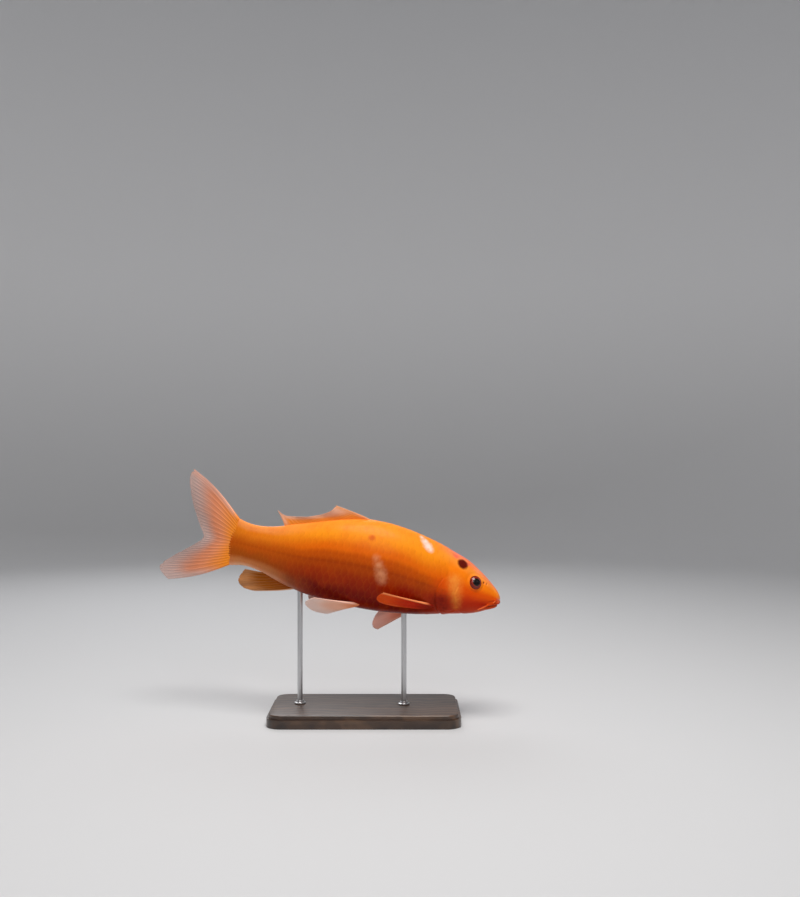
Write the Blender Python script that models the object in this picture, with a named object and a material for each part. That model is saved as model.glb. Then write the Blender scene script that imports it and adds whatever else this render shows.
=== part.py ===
"""A koi carp at life size, swimming nose down, held by two rods on a flat display base.

The fish is laid out in its own straight frame, as (along, side, up): along runs from the snout
towards the tail, side to the fish's left and up to its back. The function place() bends that frame
sideways along the spine, pitches it nose down and sets it over the base. The row frame has +X ahead
of the fish, +Z up, and its origin in the middle of the base's underside.
"""

import math

import bmesh
import bpy
from mathutils import Matrix, Vector

# Driving dimensions, in metres
LENGTH = 0.264  # from the snout to the root of the tail fin
GAP = 0.0003  # kept between neighbouring solids
PITCH = math.radians(12.4)  # nose down
TAIL_BEND = math.radians(20)  # how far the tail's heading is turned to the fish's left
BEND_FROM = 0.38  # share of LENGTH where the spine starts to bend
BEND_TO = 1.20  # share of LENGTH where the bend is complete
AXIS_HEIGHT = 0.139  # the spine's height over the floor, where it crosses the base's middle
OVER_BASE = 0.50  # share of LENGTH that stands over the base's middle

# The body at a few stations: share of LENGTH from the snout, and in shares of LENGTH the height of
# the back and the depth of the belly from the axis, the half width and the level of the widest line.
STATIONS = (
    (0.000, 0.0000, 0.0000, 0.0000, 0.0000),
    (0.008, 0.0235, 0.0205, 0.0215, -0.0010),
    (0.022, 0.0400, 0.0320, 0.0320, -0.0020),
    (0.045, 0.0590, 0.0445, 0.0415, -0.0030),
    (0.095, 0.0945, 0.0660, 0.0590, -0.0020),
    (0.142, 0.1210, 0.0775, 0.0715, 0.0000),
    (0.200, 0.1410, 0.0910, 0.0830, 0.0040),
    (0.273, 0.1630, 0.1080, 0.0925, 0.0120),
    (0.400, 0.1865, 0.1275, 0.0975, 0.0260),
    (0.500, 0.1890, 0.1340, 0.0915, 0.0280),
    (0.610, 0.1675, 0.1335, 0.0775, 0.0200),
    (0.700, 0.1385, 0.1270, 0.0610, 0.0090),
    (0.780, 0.1120, 0.1120, 0.0455, 0.0020),
    (0.870, 0.0830, 0.0890, 0.0300, 0.0000),
    (0.940, 0.0740, 0.0820, 0.0205, -0.0020),
    (1.000, 0.0830, 0.0935, 0.0120, -0.0050),
)
BACK_POWER = 1.90  # superellipse power over the widest line; under 2 gives a slight ridge
BELLY_POWER = 2.30  # and below it; over 2 gives a fuller belly
SIDES = 24  # points round the body
HEAD_COLUMNS = 12  # and steps along its lengths
TRUNK_COLUMNS = (8, 7, 7)  # front, rear and stalk
SKIN_COLUMNS = 36  # and along the whole-body cutter
NECK = 0.262  # shares of LENGTH where the body is parted
MIDRIFF = 0.520
STALK = 0.770

# Head parts, in shares of LENGTH as (along, up)
EYE_AT = (0.1050, 0.0520)
EYE_GIRTH = 0.0068  # the eyeball's radius across its axis, in metres
EYE_THICKNESS = 0.0044  # and along it, because a fish's eye is flattened
EYE_SINK = 0.0019  # how far the eyeball's centre lies under the cheek
GILL_AT = (0.1820, -0.0100)
GILL_RADII = (0.0580, 0.0800)
GILL_DEPTH = 0.0130  # the gill covers lie outside this distance from the middle plane, in metres
CUTTER_REACH = 0.05  # how far the head's cutters go to the side, in metres
OVAL_SIDES = 28  # of a gill cover's outline
EYE_SIDES, EYE_RINGS = 18, 10
JAW_CORNERS = ((-0.020, -0.006), (0.064, -0.033), (0.088, -0.110), (-0.030, -0.110))

# Barbels: the root's (along, up) in shares of LENGTH, the length, the radius at root and tip,
# and the direction it leaves in, as (back, aside, down)
BARBELS = {
    "long": ((0.0420, -0.0180), 0.0130, (0.00095, 0.0004), (0.55, 0.66, 0.50)),
    "short": ((0.0190, 0.0020), 0.0065, (0.00070, 0.0004), (0.10, 0.85, 0.50)),
}
BARBEL_STEPS = 6
BARBEL_SIDES = 6
BARBEL_CURL = 0.30  # how far its tip is carried back, as a share of its length

# Fin plates: the thickness at the root, how quickly it falls to the margin's, and the grid's
# columns along the rays and rows across them
FIN_EDGE = 0.0006  # thickness at the margin
FIN_PLATES = {
    "dorsal": (0.0016, 1.0, 7, 16),
    "anal": (0.0016, 1.0, 7, 9),
    "tail": (0.0046, 3.0, 10, 10),
    "pectoral": (0.0024, 2.0, 8, 10),
    "pelvic": (0.0024, 2.0, 7, 8),
}
SINK = 0.003  # how far a fin starts under the skin before it is trimmed to it
SKIN_GAP = 0.00036  # how far outside the body the fins and barbels stop

# Stand
BASE_SIZE = (0.180, 0.096, 0.012)
BASE_CORNER, BASE_CORNER_STEPS = 0.014, 6
BASE_BEVEL, BASE_BEVEL_STEPS = 0.0012, 2
ROD_RADIUS = 0.0025
ROD_SIDES = 16
ROD_DEPTH = 0.010  # how far a rod goes into the belly
ROD_IN_BASE = 0.006  # and into the base
RODS = {"front": 0.330, "rear": 0.715}  # share of LENGTH over each rod
FOOT_RADIUS = 0.0055
FOOT_HEIGHT = 0.003

HANDS = {"right": -1, "left": 1}

COLOURS = {
    "koi_orange": ((0.84, 0.24, 0.012), 0.34, 0.0),
    "koi_fin": ((0.83, 0.36, 0.16), 0.42, 0.0),
    "koi_eye": ((0.03, 0.008, 0.006), 0.06, 0.0),
    "stand_wood": ((0.06, 0.032, 0.018), 0.40, 0.0),
    "stand_steel": ((0.56, 0.56, 0.57), 0.28, 1.0),
}


def clear_scene():
    for item in list(bpy.data.objects):
        bpy.data.objects.remove(item)


def material(name):
    """The named material, made the first time it is asked for."""
    found = bpy.data.materials.get(name)
    if found:
        return found
    colour, roughness, metallic = COLOURS[name]
    made = bpy.data.materials.new(name)
    made.use_nodes = True
    shader = made.node_tree.nodes["Principled BSDF"]
    shader.inputs["Base Color"].default_value = (*colour, 1)
    shader.inputs["Roughness"].default_value = roughness
    shader.inputs["Metallic"].default_value = metallic
    return made


def smooth_through(keys, at):
    """The values at a place, on a smooth curve through keys, which are rows of (place, value, ...)."""
    last = len(keys) - 2
    i = next((k for k in range(last) if at < keys[k + 1][0]), last)
    low, high = keys[i], keys[i + 1]
    before, after = keys[max(i - 1, 0)], keys[min(i + 2, len(keys) - 1)]
    width = high[0] - low[0]
    t = (at - low[0]) / width
    values = []
    for k in range(1, len(low)):
        slope_low = (high[k] - before[k]) / (high[0] - before[0]) * width
        slope_high = (after[k] - low[k]) / (after[0] - low[0]) * width
        values.append(
            (2 * t**3 - 3 * t**2 + 1) * low[k]
            + (t**3 - 2 * t**2 + t) * slope_low
            + (3 * t**2 - 2 * t**3) * high[k]
            + (t**3 - t**2) * slope_high
        )
    return values


# The body is read against the root of its length, which makes the snout round.
BODY_KEYS = [(math.sqrt(row[0]), *row[1:]) for row in STATIONS]


def heading(along):
    """How far the spine is turned to the fish's left at a distance from the snout."""
    share = (along / LENGTH - BEND_FROM) / (BEND_TO - BEND_FROM)
    share = min(max(share, 0.0), 1.0)
    return TAIL_BEND * share * share * (3 - 2 * share)


def spine(along, steps=48):
    """The spine's (ahead, left) at a distance from the snout, by adding short steps."""
    start = BEND_FROM * LENGTH
    if along <= start:
        return -along, 0.0
    step = (along - start) / steps
    turns = [heading(start + (k + 0.5) * step) for k in range(steps)]
    return -start - step * sum(map(math.cos, turns)), step * sum(map(math.sin, turns))


def place(along, side, up):
    """A point of the fish's straight frame, in the row frame."""
    ahead, left = spine(along)
    turn = heading(along)
    point = Vector((ahead + side * math.sin(turn), left + side * math.cos(turn), up))
    point.x += OVER_BASE * LENGTH
    point = Matrix.Rotation(PITCH, 3, "Y") @ point
    point.z += AXIS_HEIGHT
    return point


def outline(share, turn, grow=0.0):
    """The body's (side, up) at a share of its length; turn runs from the back round by the left."""
    back, belly, half, level = smooth_through(BODY_KEYS, math.sqrt(max(share, 0.0)))
    back, belly, half, level = (v * LENGTH for v in (back, belly, half, level))
    power = BACK_POWER if math.cos(turn) > 0 else BELLY_POWER
    tall = (back - level) if math.cos(turn) > 0 else (belly + level)
    sine, cosine = math.sin(turn), math.cos(turn)
    side = math.copysign(abs(sine) ** (2 / power), sine) * (half + grow)
    up = math.copysign(abs(cosine) ** (2 / power), cosine) * (tall + grow)
    return side, level + up


def cheek(share, up):
    """How far the body's surface is from the middle plane at a height."""
    low, high = 0.0, math.pi
    for _ in range(30):
        middle = (low + high) / 2
        if outline(share, middle)[1] > up:
            low = middle
        else:
            high = middle
    return outline(share, low)[0]


def cheek_normal(share, up, hand, step=0.0005):
    """The direction that the head's side faces at a place, on the left for hand 1."""
    side = cheek(share, up)
    back_slope = (cheek(share + step / LENGTH, up) - side) / step
    up_slope = (cheek(share, up + step) - side) / step
    along = share * LENGTH
    tip = place(along - back_slope * step, hand * (side + step), up - up_slope * step)
    return (tip - place(along, hand * side, up)).normalized()


def new_object(name, mesh_maker, finish=None, smooth_angle=40):
    """An object from a bmesh, with its faces turned outwards."""
    mesh_maker.normal_update()
    bmesh.ops.recalc_face_normals(mesh_maker, faces=mesh_maker.faces)
    mesh = bpy.data.meshes.new(name)
    mesh_maker.to_mesh(mesh)
    mesh_maker.free()
    mesh.shade_smooth()
    mesh.set_sharp_from_angle(angle=math.radians(smooth_angle))
    made = bpy.data.objects.new(name, mesh)
    bpy.context.scene.collection.objects.link(made)
    if finish:
        mesh.materials.append(material(finish))
    return made


def guide(item):
    """Marks an object as a cutter, which the build leaves out."""
    item.hide_render = True
    item.display_type = "WIRE"
    return item


def cut(item, cutter, operation="DIFFERENCE"):
    step = item.modifiers.new(f"{operation.lower()}_{cutter.name}", "BOOLEAN")
    step.operation = operation
    step.solver = "EXACT"
    step.object = cutter


def grid_shape(columns, rows, point_at):
    """A grid whose corners are moved to point_at(a, b), with a and b from 0 to 1."""
    made = bmesh.new()
    bmesh.ops.create_grid(made, x_segments=columns, y_segments=rows, size=0.5)
    for corner in made.verts:
        corner.co = point_at(corner.co.x + 0.5, corner.co.y + 0.5)
    return made


def body_length(name, start, end, columns, grow=0.0, finish="koi_orange"):
    """One closed length of the body, between two shares of LENGTH."""
    first, last = math.sqrt(max(start, 0.0)), math.sqrt(end)

    def at(a, b):
        share = (first + a * (last - first)) ** 2
        side, up = outline(share, 2 * math.pi * b, grow)
        return place(share * LENGTH - (grow if share < 1e-9 else 0), side, up)

    made = grid_shape(columns, SIDES, at)
    bmesh.ops.remove_doubles(made, verts=made.verts, dist=1e-5)
    rims = [edge for edge in made.edges if edge.is_boundary]
    bmesh.ops.holes_fill(made, edges=rims, sides=SIDES)
    return new_object(name, made, finish)


def round_prism(name, centre, radii, low, high):
    """A cutter: an oval in the side view, given in shares of LENGTH, from one side to another."""
    made = bmesh.new()
    bmesh.ops.create_cone(made, cap_ends=True, segments=OVAL_SIDES, radius1=1, radius2=1, depth=1)
    for corner in made.verts:
        along = (centre[0] + radii[0] * corner.co.x) * LENGTH
        up = (centre[1] + radii[1] * corner.co.y) * LENGTH
        corner.co = place(along, low if corner.co.z < 0 else high, up)
    return guide(new_object(name, made))


def flat_prism(name, points, half_width):
    """A cutter: a polygon in the side view, given in metres as (along, up), across the fish."""
    made = bmesh.new()
    corners = [made.verts.new(place(along, -half_width, up)) for along, up in points]
    face = made.faces.new(corners)
    swept = bmesh.ops.extrude_face_region(made, geom=[face])["geom"]
    across = place(0, half_width, 0) - place(0, -half_width, 0)
    moved = [item for item in swept if isinstance(item, bmesh.types.BMVert)]
    bmesh.ops.translate(made, vec=across, verts=moved)
    return guide(new_object(name, made))


def eyeball(name, centre, outward, grow=0.0, finish=None):
    """A flattened ball whose axis points out of the head."""
    made = bmesh.new()
    bmesh.ops.create_uvsphere(made, u_segments=EYE_SIDES, v_segments=EYE_RINGS, radius=1)
    girth, thick = EYE_GIRTH + grow, EYE_THICKNESS + grow
    bmesh.ops.scale(made, vec=(girth, girth, thick), verts=made.verts)
    turn = outward.to_track_quat("Z", "Y").to_matrix()
    bmesh.ops.rotate(made, cent=(0, 0, 0), matrix=turn, verts=made.verts)
    bmesh.ops.translate(made, vec=centre, verts=made.verts)
    return new_object(name, made, finish, smooth_angle=180)


def tube(name, points, radii, finish, sides=BARBEL_SIDES):
    """A closed, tapering tube along a few points."""
    made = bmesh.new()
    bmesh.ops.create_grid(made, x_segments=len(points) - 1, y_segments=sides, size=0.5)
    for corner in made.verts:
        k = round((corner.co.x + 0.5) * (len(points) - 1))
        ahead = points[min(k + 1, len(points) - 1)] - points[max(k - 1, 0)]
        across = ahead.cross(Vector((0, 1, 0))).normalized()
        turn = Matrix.Rotation(2 * math.pi * (corner.co.y + 0.5), 3, ahead)
        corner.co = points[k] + turn @ across * radii[k]
    bmesh.ops.remove_doubles(made, verts=made.verts, dist=1e-5)
    rims = [edge for edge in made.edges if edge.is_boundary]
    bmesh.ops.holes_fill(made, edges=rims, sides=sides)
    return new_object(name, made, finish)


def fin_plate(name, kind, keys, spread, across=(0.0, 1.0)):
    """A fin: a fan of rays, thickened. keys are rows of (share across, values), and
    spread(values, out) gives the (along, side, up) of a point at a share out along a ray."""
    root, power, columns, rows = FIN_PLATES[kind]
    first, last = across

    def at(a, b):
        values = smooth_through(keys, first + b * (last - first))
        return place(*spread(values, a))

    made = grid_shape(columns, rows, at)
    fin = new_object(name, made, "koi_fin")
    group = fin.vertex_groups.new(name="thickness")
    per_row = columns + 1
    for corner in range(per_row * (rows + 1)):
        out = (corner % per_row) / columns
        weight = (FIN_EDGE + (root - FIN_EDGE) * (1 - out) ** power) / root
        group.add([corner], weight, "REPLACE")
    thick = fin.modifiers.new("thickness", "SOLIDIFY")
    thick.thickness = root
    thick.offset = 0.0
    thick.vertex_group = group.name
    thick.use_even_offset = False
    return fin


# Median fins: share across, then in shares of LENGTH the root's (along, up), the ray's length
# and its angle over the level of the axis in degrees, looking towards the tail.
DORSAL_RAYS = (
    (0.00, 0.500, 0.1890, 0.156, 8.0),
    (0.13, 0.542, 0.1830, 0.124, 3.0),
    (0.35, 0.612, 0.1670, 0.094, -2.0),
    (0.60, 0.692, 0.1410, 0.073, 1.5),
    (0.85, 0.775, 0.1135, 0.053, 22.0),
    (1.00, 0.820, 0.0960, 0.066, 50.0),
)
ANAL_RAYS = (
    (0.00, 0.726, -0.1230, 0.166, -14.0),
    (0.35, 0.768, -0.1150, 0.178, -14.5),
    (0.70, 0.812, -0.1030, 0.148, -10.5),
    (1.00, 0.852, -0.0905, 0.086, -1.5),
)
TAIL_RAYS = (
    (0.00, 1.0025, 0.0800, 0.270, 31.5),
    (0.10, 1.0025, 0.0620, 0.268, 28.0),
    (0.25, 1.0025, 0.0360, 0.216, 18.0),
    (0.40, 1.0025, 0.0110, 0.158, 5.0),
    (0.50, 1.0025, -0.0060, 0.128, -5.0),
    (0.60, 1.0025, -0.0230, 0.163, -11.0),
    (0.76, 1.0025, -0.0500, 0.248, -15.5),
    (0.88, 1.0025, -0.0710, 0.300, -18.5),
    (1.00, 1.0025, -0.0925, 0.262, -25.5),
)
TAIL_SWELL = 0.11  # how far the outer tail rays bow outwards, as a share of their rise
FORK = 0.5  # where across the tail its two lobes part


def median_spread(lean=0.0, swell=0.0, sink=SINK, dip=0.0):
    """Rays in the middle plane: lean tips them to the left, swell bows them away from the axis and
    dip lets their roots into the body, down for a back fin and up for a belly fin."""

    def spread(values, out):
        root_along, root_up, length, angle = values
        angle = math.radians(angle)
        reach = out * (length * LENGTH + sink) - sink
        bow = swell * math.sin(math.pi * out) * length * LENGTH * math.sin(angle)
        along = root_along * LENGTH + reach * math.cos(angle)
        up = root_up * LENGTH + reach * math.sin(angle) + bow - dip * (1 - out) ** 4
        return along, lean * max(reach, 0.0), up

    return spread


def dorsal_fin(skin):
    cut(fin_plate("dorsal_fin", "dorsal", DORSAL_RAYS, median_spread(lean=-0.04, dip=SINK)), skin)


def anal_fin(skin):
    cut(fin_plate("anal_fin", "anal", ANAL_RAYS, median_spread(lean=0.05, dip=-SINK)), skin)


def tail_fin():
    """The two lobes, parted along the middle ray and starting a gap behind the stalk."""
    root_height = (TAIL_RAYS[0][2] - TAIL_RAYS[-1][2]) * LENGTH
    parting = GAP / root_height / 2
    spread = median_spread(swell=TAIL_SWELL, sink=0.0)
    fin_plate("tail_fin_upper", "tail", TAIL_RAYS, spread, (0.0, FORK - parting))
    fin_plate("tail_fin_lower", "tail", TAIL_RAYS, spread, (FORK + parting, 1.0))


# Paired fins: share across, then in shares of LENGTH the root's (along, up) and the ray's length,
# and in degrees how far the ray points down from the axis and out from the body.
PECTORAL_RAYS = {
    "right": (
        (0.00, 0.246, -0.055, 0.196, -4.5, 26.0),
        (0.20, 0.250, -0.059, 0.202, -1.0, 23.0),
        (0.50, 0.256, -0.066, 0.188, 2.5, 17.0),
        (0.80, 0.262, -0.072, 0.150, 5.5, 11.0),
        (1.00, 0.266, -0.076, 0.100, 7.0, 7.0),
    ),
    "left": (
        (0.00, 0.246, -0.070, 0.232, 41.0, 20.0),
        (0.20, 0.249, -0.067, 0.246, 36.0, 23.0),
        (0.50, 0.254, -0.063, 0.216, 28.0, 26.0),
        (0.80, 0.259, -0.059, 0.158, 20.0, 27.0),
        (1.00, 0.263, -0.056, 0.112, 13.0, 27.0),
    ),
}
PELVIC_RAYS = {
    "right": (
        (0.00, 0.505, -0.112, 0.150, 3.0, 14.0),
        (0.30, 0.508, -0.117, 0.174, 10.0, 9.0),
        (0.65, 0.512, -0.123, 0.148, 19.0, 4.0),
        (1.00, 0.516, -0.128, 0.092, 30.0, 0.0),
    ),
    "left": (
        (0.00, 0.505, -0.112, 0.170, 5.0, 14.0),
        (0.30, 0.508, -0.117, 0.192, 8.0, 8.0),
        (0.65, 0.512, -0.123, 0.156, 15.0, 3.0),
        (1.00, 0.516, -0.128, 0.102, 25.0, 0.0),
    ),
}
CUP = 0.06  # how far a paired fin's surface is hollowed, as a share of its rays


def paired_spread(hand):
    """Rays that leave the body's side; hand is 1 for the fish's left and -1 for its right."""

    def spread(values, out):
        root_along, root_up, length, down, aside = values
        down, aside = math.radians(down), math.radians(aside)
        root_side = cheek(root_along, root_up * LENGTH)
        reach = out * (length * LENGTH + SINK) - SINK
        hollow = CUP * length * LENGTH * math.sin(math.pi * out)
        along = root_along * LENGTH + reach * math.cos(down) * math.cos(aside)
        side = root_side + reach * math.sin(aside) + hollow
        up = root_up * LENGTH - reach * math.sin(down)
        return along, hand * side, up

    return spread


def paired_fins(kind, rays, skin):
    for side_name, hand in HANDS.items():
        name = f"{kind}_fin_{side_name}"
        cut(fin_plate(name, kind, rays[side_name], paired_spread(hand)), skin)


def eyes():
    """Each eyeball, and the slightly larger ball that cuts its socket."""
    sockets = []
    share, up = EYE_AT[0], EYE_AT[1] * LENGTH
    side = cheek(share, up)
    for side_name, hand in HANDS.items():
        surface = place(share * LENGTH, hand * side, up)
        outward = cheek_normal(share, up, hand)
        centre = surface - EYE_SINK * outward
        eyeball(f"eye_{side_name}", centre, outward, finish="koi_eye")
        sockets.append(guide(eyeball(f"socket_{side_name}", centre, outward, grow=GAP)))
    return sockets


def jaw_space(name, gap=0.0):
    """The lower jaw's space in the side view: the mouth's slit, its corner, the throat and front."""
    slit, hinge, throat, front = (Vector(corner) * LENGTH for corner in JAW_CORNERS)
    up, back = Vector((0, gap)), Vector((gap, 0))
    return flat_prism(name, [slit + up, hinge + up + back, throat + back, front], CUTTER_REACH)


def head(sockets):
    """The skull and cheeks, the lower jaw and the two gill covers, parted by thin cuts."""
    end = NECK - GAP / 2 / LENGTH
    skull = body_length("head", 0, end, HEAD_COLUMNS)
    jaw = body_length("lower_jaw", 0, end, HEAD_COLUMNS)
    cut(jaw, jaw_space("jaw_shape"), "INTERSECT")
    cut(skull, jaw_space("jaw_gap", gap=GAP))
    grown = [radius + GAP / LENGTH for radius in GILL_RADII]
    for side_name, hand in HANDS.items():
        cover = body_length(f"gill_cover_{side_name}", 0, end, HEAD_COLUMNS)
        inner, outer = hand * GILL_DEPTH, hand * CUTTER_REACH
        shape = round_prism(f"gill_shape_{side_name}", GILL_AT, GILL_RADII, inner, outer)
        cut(cover, shape, "INTERSECT")
        space = round_prism(f"gill_gap_{side_name}", GILL_AT, grown, inner - hand * GAP, outer)
        cut(skull, space)
    for socket in sockets:
        cut(skull, socket)


def barbel(name, root, length, radii, leaving, hand, skin):
    """A feeler on the lip: root is (along, up) in shares of LENGTH, and leaving is how it sets off,
    as (back, aside, down). It then curls back towards the gills."""
    along, up = (v * LENGTH for v in root)
    side = cheek(root[0], up)
    back, aside, down = leaving
    points = []
    thick = []
    for k in range(BARBEL_STEPS + 1):
        share = k / BARBEL_STEPS
        out = share * length - SINK / 2
        curl = BARBEL_CURL * share * share * length
        tip = (along + back * out + curl, hand * (side + aside * out), up - down * out)
        points.append(place(*tip))
        thick.append(radii[0] + (radii[1] - radii[0]) * share)
    cut(tube(name, points, thick, "koi_fin"), skin)


def barbels(skin):
    for side_name, hand in HANDS.items():
        for kind, (root, length, radii, leaving) in BARBELS.items():
            barbel(f"barbel_{kind}_{side_name}", root, length, radii, leaving, hand, skin)


def trunk(rod_sockets):
    half = GAP / 2 / LENGTH
    front = body_length("trunk_front", NECK + half, MIDRIFF - half, TRUNK_COLUMNS[0])
    rear = body_length("trunk_rear", MIDRIFF + half, STALK - half, TRUNK_COLUMNS[1])
    body_length("tail_stalk", STALK + half, 1.0, TRUNK_COLUMNS[2])
    cut(front, rod_sockets["front"])
    cut(rear, rod_sockets["rear"])


def upright(name, foot, top, radius, finish=None, sides=ROD_SIDES):
    """A vertical cylinder from a foot up to the level top."""
    made = bmesh.new()
    bmesh.ops.create_cone(made, cap_ends=True, segments=sides, radius1=radius, radius2=radius, depth=1)
    for corner in made.verts:
        corner.co.x += foot.x
        corner.co.y += foot.y
        corner.co.z = foot.z if corner.co.z < 0 else top
    return new_object(name, made, finish, smooth_angle=30)


def rounded(made, edges, offset, segments):
    bmesh.ops.bevel(
        made,
        geom=edges,
        offset=offset,
        offset_type="OFFSET",
        segments=segments,
        profile=0.5,
        affect="EDGES",
        clamp_overlap=True,
        material=-1,
    )


def base_block():
    """The flat base: a block with round corners and a softened top rim."""
    thick = BASE_SIZE[2]
    made = bmesh.new()
    bmesh.ops.create_cube(made, size=1)
    bmesh.ops.scale(made, vec=BASE_SIZE, verts=made.verts)
    bmesh.ops.translate(made, vec=(0, 0, thick / 2), verts=made.verts)
    corners = [e for e in made.edges if abs(e.verts[0].co.z - e.verts[1].co.z) > thick / 2]
    rounded(made, corners, BASE_CORNER, BASE_CORNER_STEPS)
    rim = [e for e in made.edges if min(corner.co.z for corner in e.verts) > thick - 1e-6]
    rounded(made, rim, BASE_BEVEL, BASE_BEVEL_STEPS)
    return new_object("stand_base", made, "stand_wood", smooth_angle=30)


def stand():
    """The base with its two rods and their foot rings. Returns the cutters for the rods' sockets in
    the belly."""
    base = base_block()
    base_top = BASE_SIZE[2]
    sockets = {}
    for where, share in RODS.items():
        belly = place(share * LENGTH, 0, outline(share, math.pi)[1])
        top = belly.z + ROD_DEPTH
        wide = ROD_RADIUS + GAP
        foot = Vector((belly.x, belly.y, base_top - ROD_IN_BASE))
        upright(f"stand_rod_{where}", foot, top, ROD_RADIUS, "stand_steel")
        hole = guide(upright(f"base_hole_{where}", foot - Vector((0, 0, GAP)), top, wide))
        cut(base, hole)
        ring_foot = Vector((belly.x, belly.y, base_top + GAP))
        ring_top = ring_foot.z + FOOT_HEIGHT
        ring = upright(f"stand_foot_{where}", ring_foot, ring_top, FOOT_RADIUS, "stand_steel")
        cut(ring, hole)
        sockets[where] = guide(upright(f"belly_hole_{where}", foot, top + GAP, wide))
    return sockets


def build():
    clear_scene()
    skin = guide(body_length("skin_and_gap", 0, 1.0, SKIN_COLUMNS, grow=SKIN_GAP))
    rod_sockets = stand()
    head(eyes())
    barbels(skin)
    trunk(rod_sockets)
    dorsal_fin(skin)
    anal_fin(skin)
    tail_fin()
    paired_fins("pectoral", PECTORAL_RAYS, skin)
    paired_fins("pelvic", PELVIC_RAYS, skin)


build()
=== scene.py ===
# %% [markdown]
# # A koi carp on its display stand
# A museum shows a fish as a painted, life-size model on two thin rods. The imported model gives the
# true outline and the places of the parts. This lesson gives it one skin, a coat of scales, rayed
# fins, moist eyes and a studio to stand in, and measures each piece as it is made.

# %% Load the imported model
import bisect
import functools
import math
import random

import bmesh
import bpy
from mathutils import Matrix, Vector


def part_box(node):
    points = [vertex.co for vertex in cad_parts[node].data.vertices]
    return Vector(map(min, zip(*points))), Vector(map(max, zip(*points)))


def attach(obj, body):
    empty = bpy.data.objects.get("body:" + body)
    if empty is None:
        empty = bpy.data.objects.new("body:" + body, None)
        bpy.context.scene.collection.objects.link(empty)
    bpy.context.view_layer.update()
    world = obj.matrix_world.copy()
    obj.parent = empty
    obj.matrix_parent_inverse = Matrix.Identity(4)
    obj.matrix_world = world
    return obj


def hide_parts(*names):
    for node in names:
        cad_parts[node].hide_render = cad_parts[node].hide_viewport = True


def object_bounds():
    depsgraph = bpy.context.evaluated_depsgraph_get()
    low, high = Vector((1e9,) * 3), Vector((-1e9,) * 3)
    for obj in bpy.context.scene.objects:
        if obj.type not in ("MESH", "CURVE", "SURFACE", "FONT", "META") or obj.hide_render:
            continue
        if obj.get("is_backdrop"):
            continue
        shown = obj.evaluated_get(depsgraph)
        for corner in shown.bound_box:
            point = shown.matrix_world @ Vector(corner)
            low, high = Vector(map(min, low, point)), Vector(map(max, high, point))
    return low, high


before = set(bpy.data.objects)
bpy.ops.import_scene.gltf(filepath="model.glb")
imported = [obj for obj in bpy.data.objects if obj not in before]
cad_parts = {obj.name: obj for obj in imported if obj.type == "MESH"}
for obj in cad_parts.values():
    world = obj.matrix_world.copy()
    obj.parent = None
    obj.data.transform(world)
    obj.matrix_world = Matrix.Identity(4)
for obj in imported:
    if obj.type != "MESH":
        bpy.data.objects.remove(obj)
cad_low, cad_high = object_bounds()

MM = 0.001


def in_mm(values, digits=1):
    return [round(value / MM, digits) for value in values]


print("nodes:", len(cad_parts), "box in mm:", in_mm(cad_high - cad_low))

# %% [markdown]
# ## The body's own frame
# A fish is easiest to describe straight: along from the snout, side to its left, up to its back.
# The body is a row of rounded sections read on smooth curves, and place() bends that straight fish
# at the tail, pitches it nose down and lifts it over the base. Every piece below uses the same
# functions, so skin, scales and fins meet without any fitting.

# %% The body's stations and the curve through them
LENGTH = 0.264  # from the snout to the root of the tail fin, in metres
PITCH = math.radians(12.4)
TAIL_BEND = math.radians(20)
BEND_FROM = 0.38
BEND_TO = 1.20
AXIS_HEIGHT = 0.139
OVER_BASE = 0.50
BACK_POWER = 1.90
BELLY_POWER = 2.30
TAIL_END = 1.030  # the flesh runs on this far, in shares of LENGTH, between the tail's rays

# Share of LENGTH from the snout; then, in shares of LENGTH, the height of the back, the depth of
# the belly, the half width and the level of the widest line.
STATIONS = (
    (0.000, 0.0000, 0.0000, 0.0000, 0.0000),
    (0.008, 0.0235, 0.0205, 0.0215, -0.0010),
    (0.022, 0.0400, 0.0320, 0.0320, -0.0020),
    (0.045, 0.0590, 0.0445, 0.0415, -0.0030),
    (0.095, 0.0945, 0.0660, 0.0590, -0.0020),
    (0.142, 0.1210, 0.0775, 0.0715, 0.0000),
    (0.200, 0.1410, 0.0910, 0.0830, 0.0040),
    (0.273, 0.1630, 0.1080, 0.0925, 0.0120),
    (0.400, 0.1865, 0.1275, 0.0975, 0.0260),
    (0.500, 0.1890, 0.1340, 0.0915, 0.0280),
    (0.610, 0.1675, 0.1335, 0.0775, 0.0200),
    (0.700, 0.1385, 0.1270, 0.0610, 0.0090),
    (0.780, 0.1120, 0.1120, 0.0455, 0.0020),
    (0.870, 0.0830, 0.0890, 0.0300, 0.0000),
    (0.940, 0.0740, 0.0820, 0.0205, -0.0020),
    (1.000, 0.0830, 0.0935, 0.0120, -0.0050),
    (TAIL_END, 0.0990, 0.1055, 0.0030, -0.0050),
)
# The body is read against the root of its length, which makes the snout round.
BODY_KEYS = [(math.sqrt(row[0]), *row[1:]) for row in STATIONS]


def smooth_through(keys, at):
    """The values at a place, on a smooth curve through keys, which are rows of (place, value, ...)."""
    last = len(keys) - 2
    i = next((k for k in range(last) if at < keys[k + 1][0]), last)
    low, high = keys[i], keys[i + 1]
    before, after = keys[max(i - 1, 0)], keys[min(i + 2, len(keys) - 1)]
    width = high[0] - low[0]
    t = (at - low[0]) / width
    values = []
    for k in range(1, len(low)):
        slope_low = (high[k] - before[k]) / (high[0] - before[0]) * width
        slope_high = (after[k] - low[k]) / (after[0] - low[0]) * width
        values.append(
            (2 * t**3 - 3 * t**2 + 1) * low[k]
            + (t**3 - 2 * t**2 + t) * slope_low
            + (3 * t**2 - 2 * t**3) * high[k]
            + (t**3 - t**2) * slope_high
        )
    return values


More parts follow.
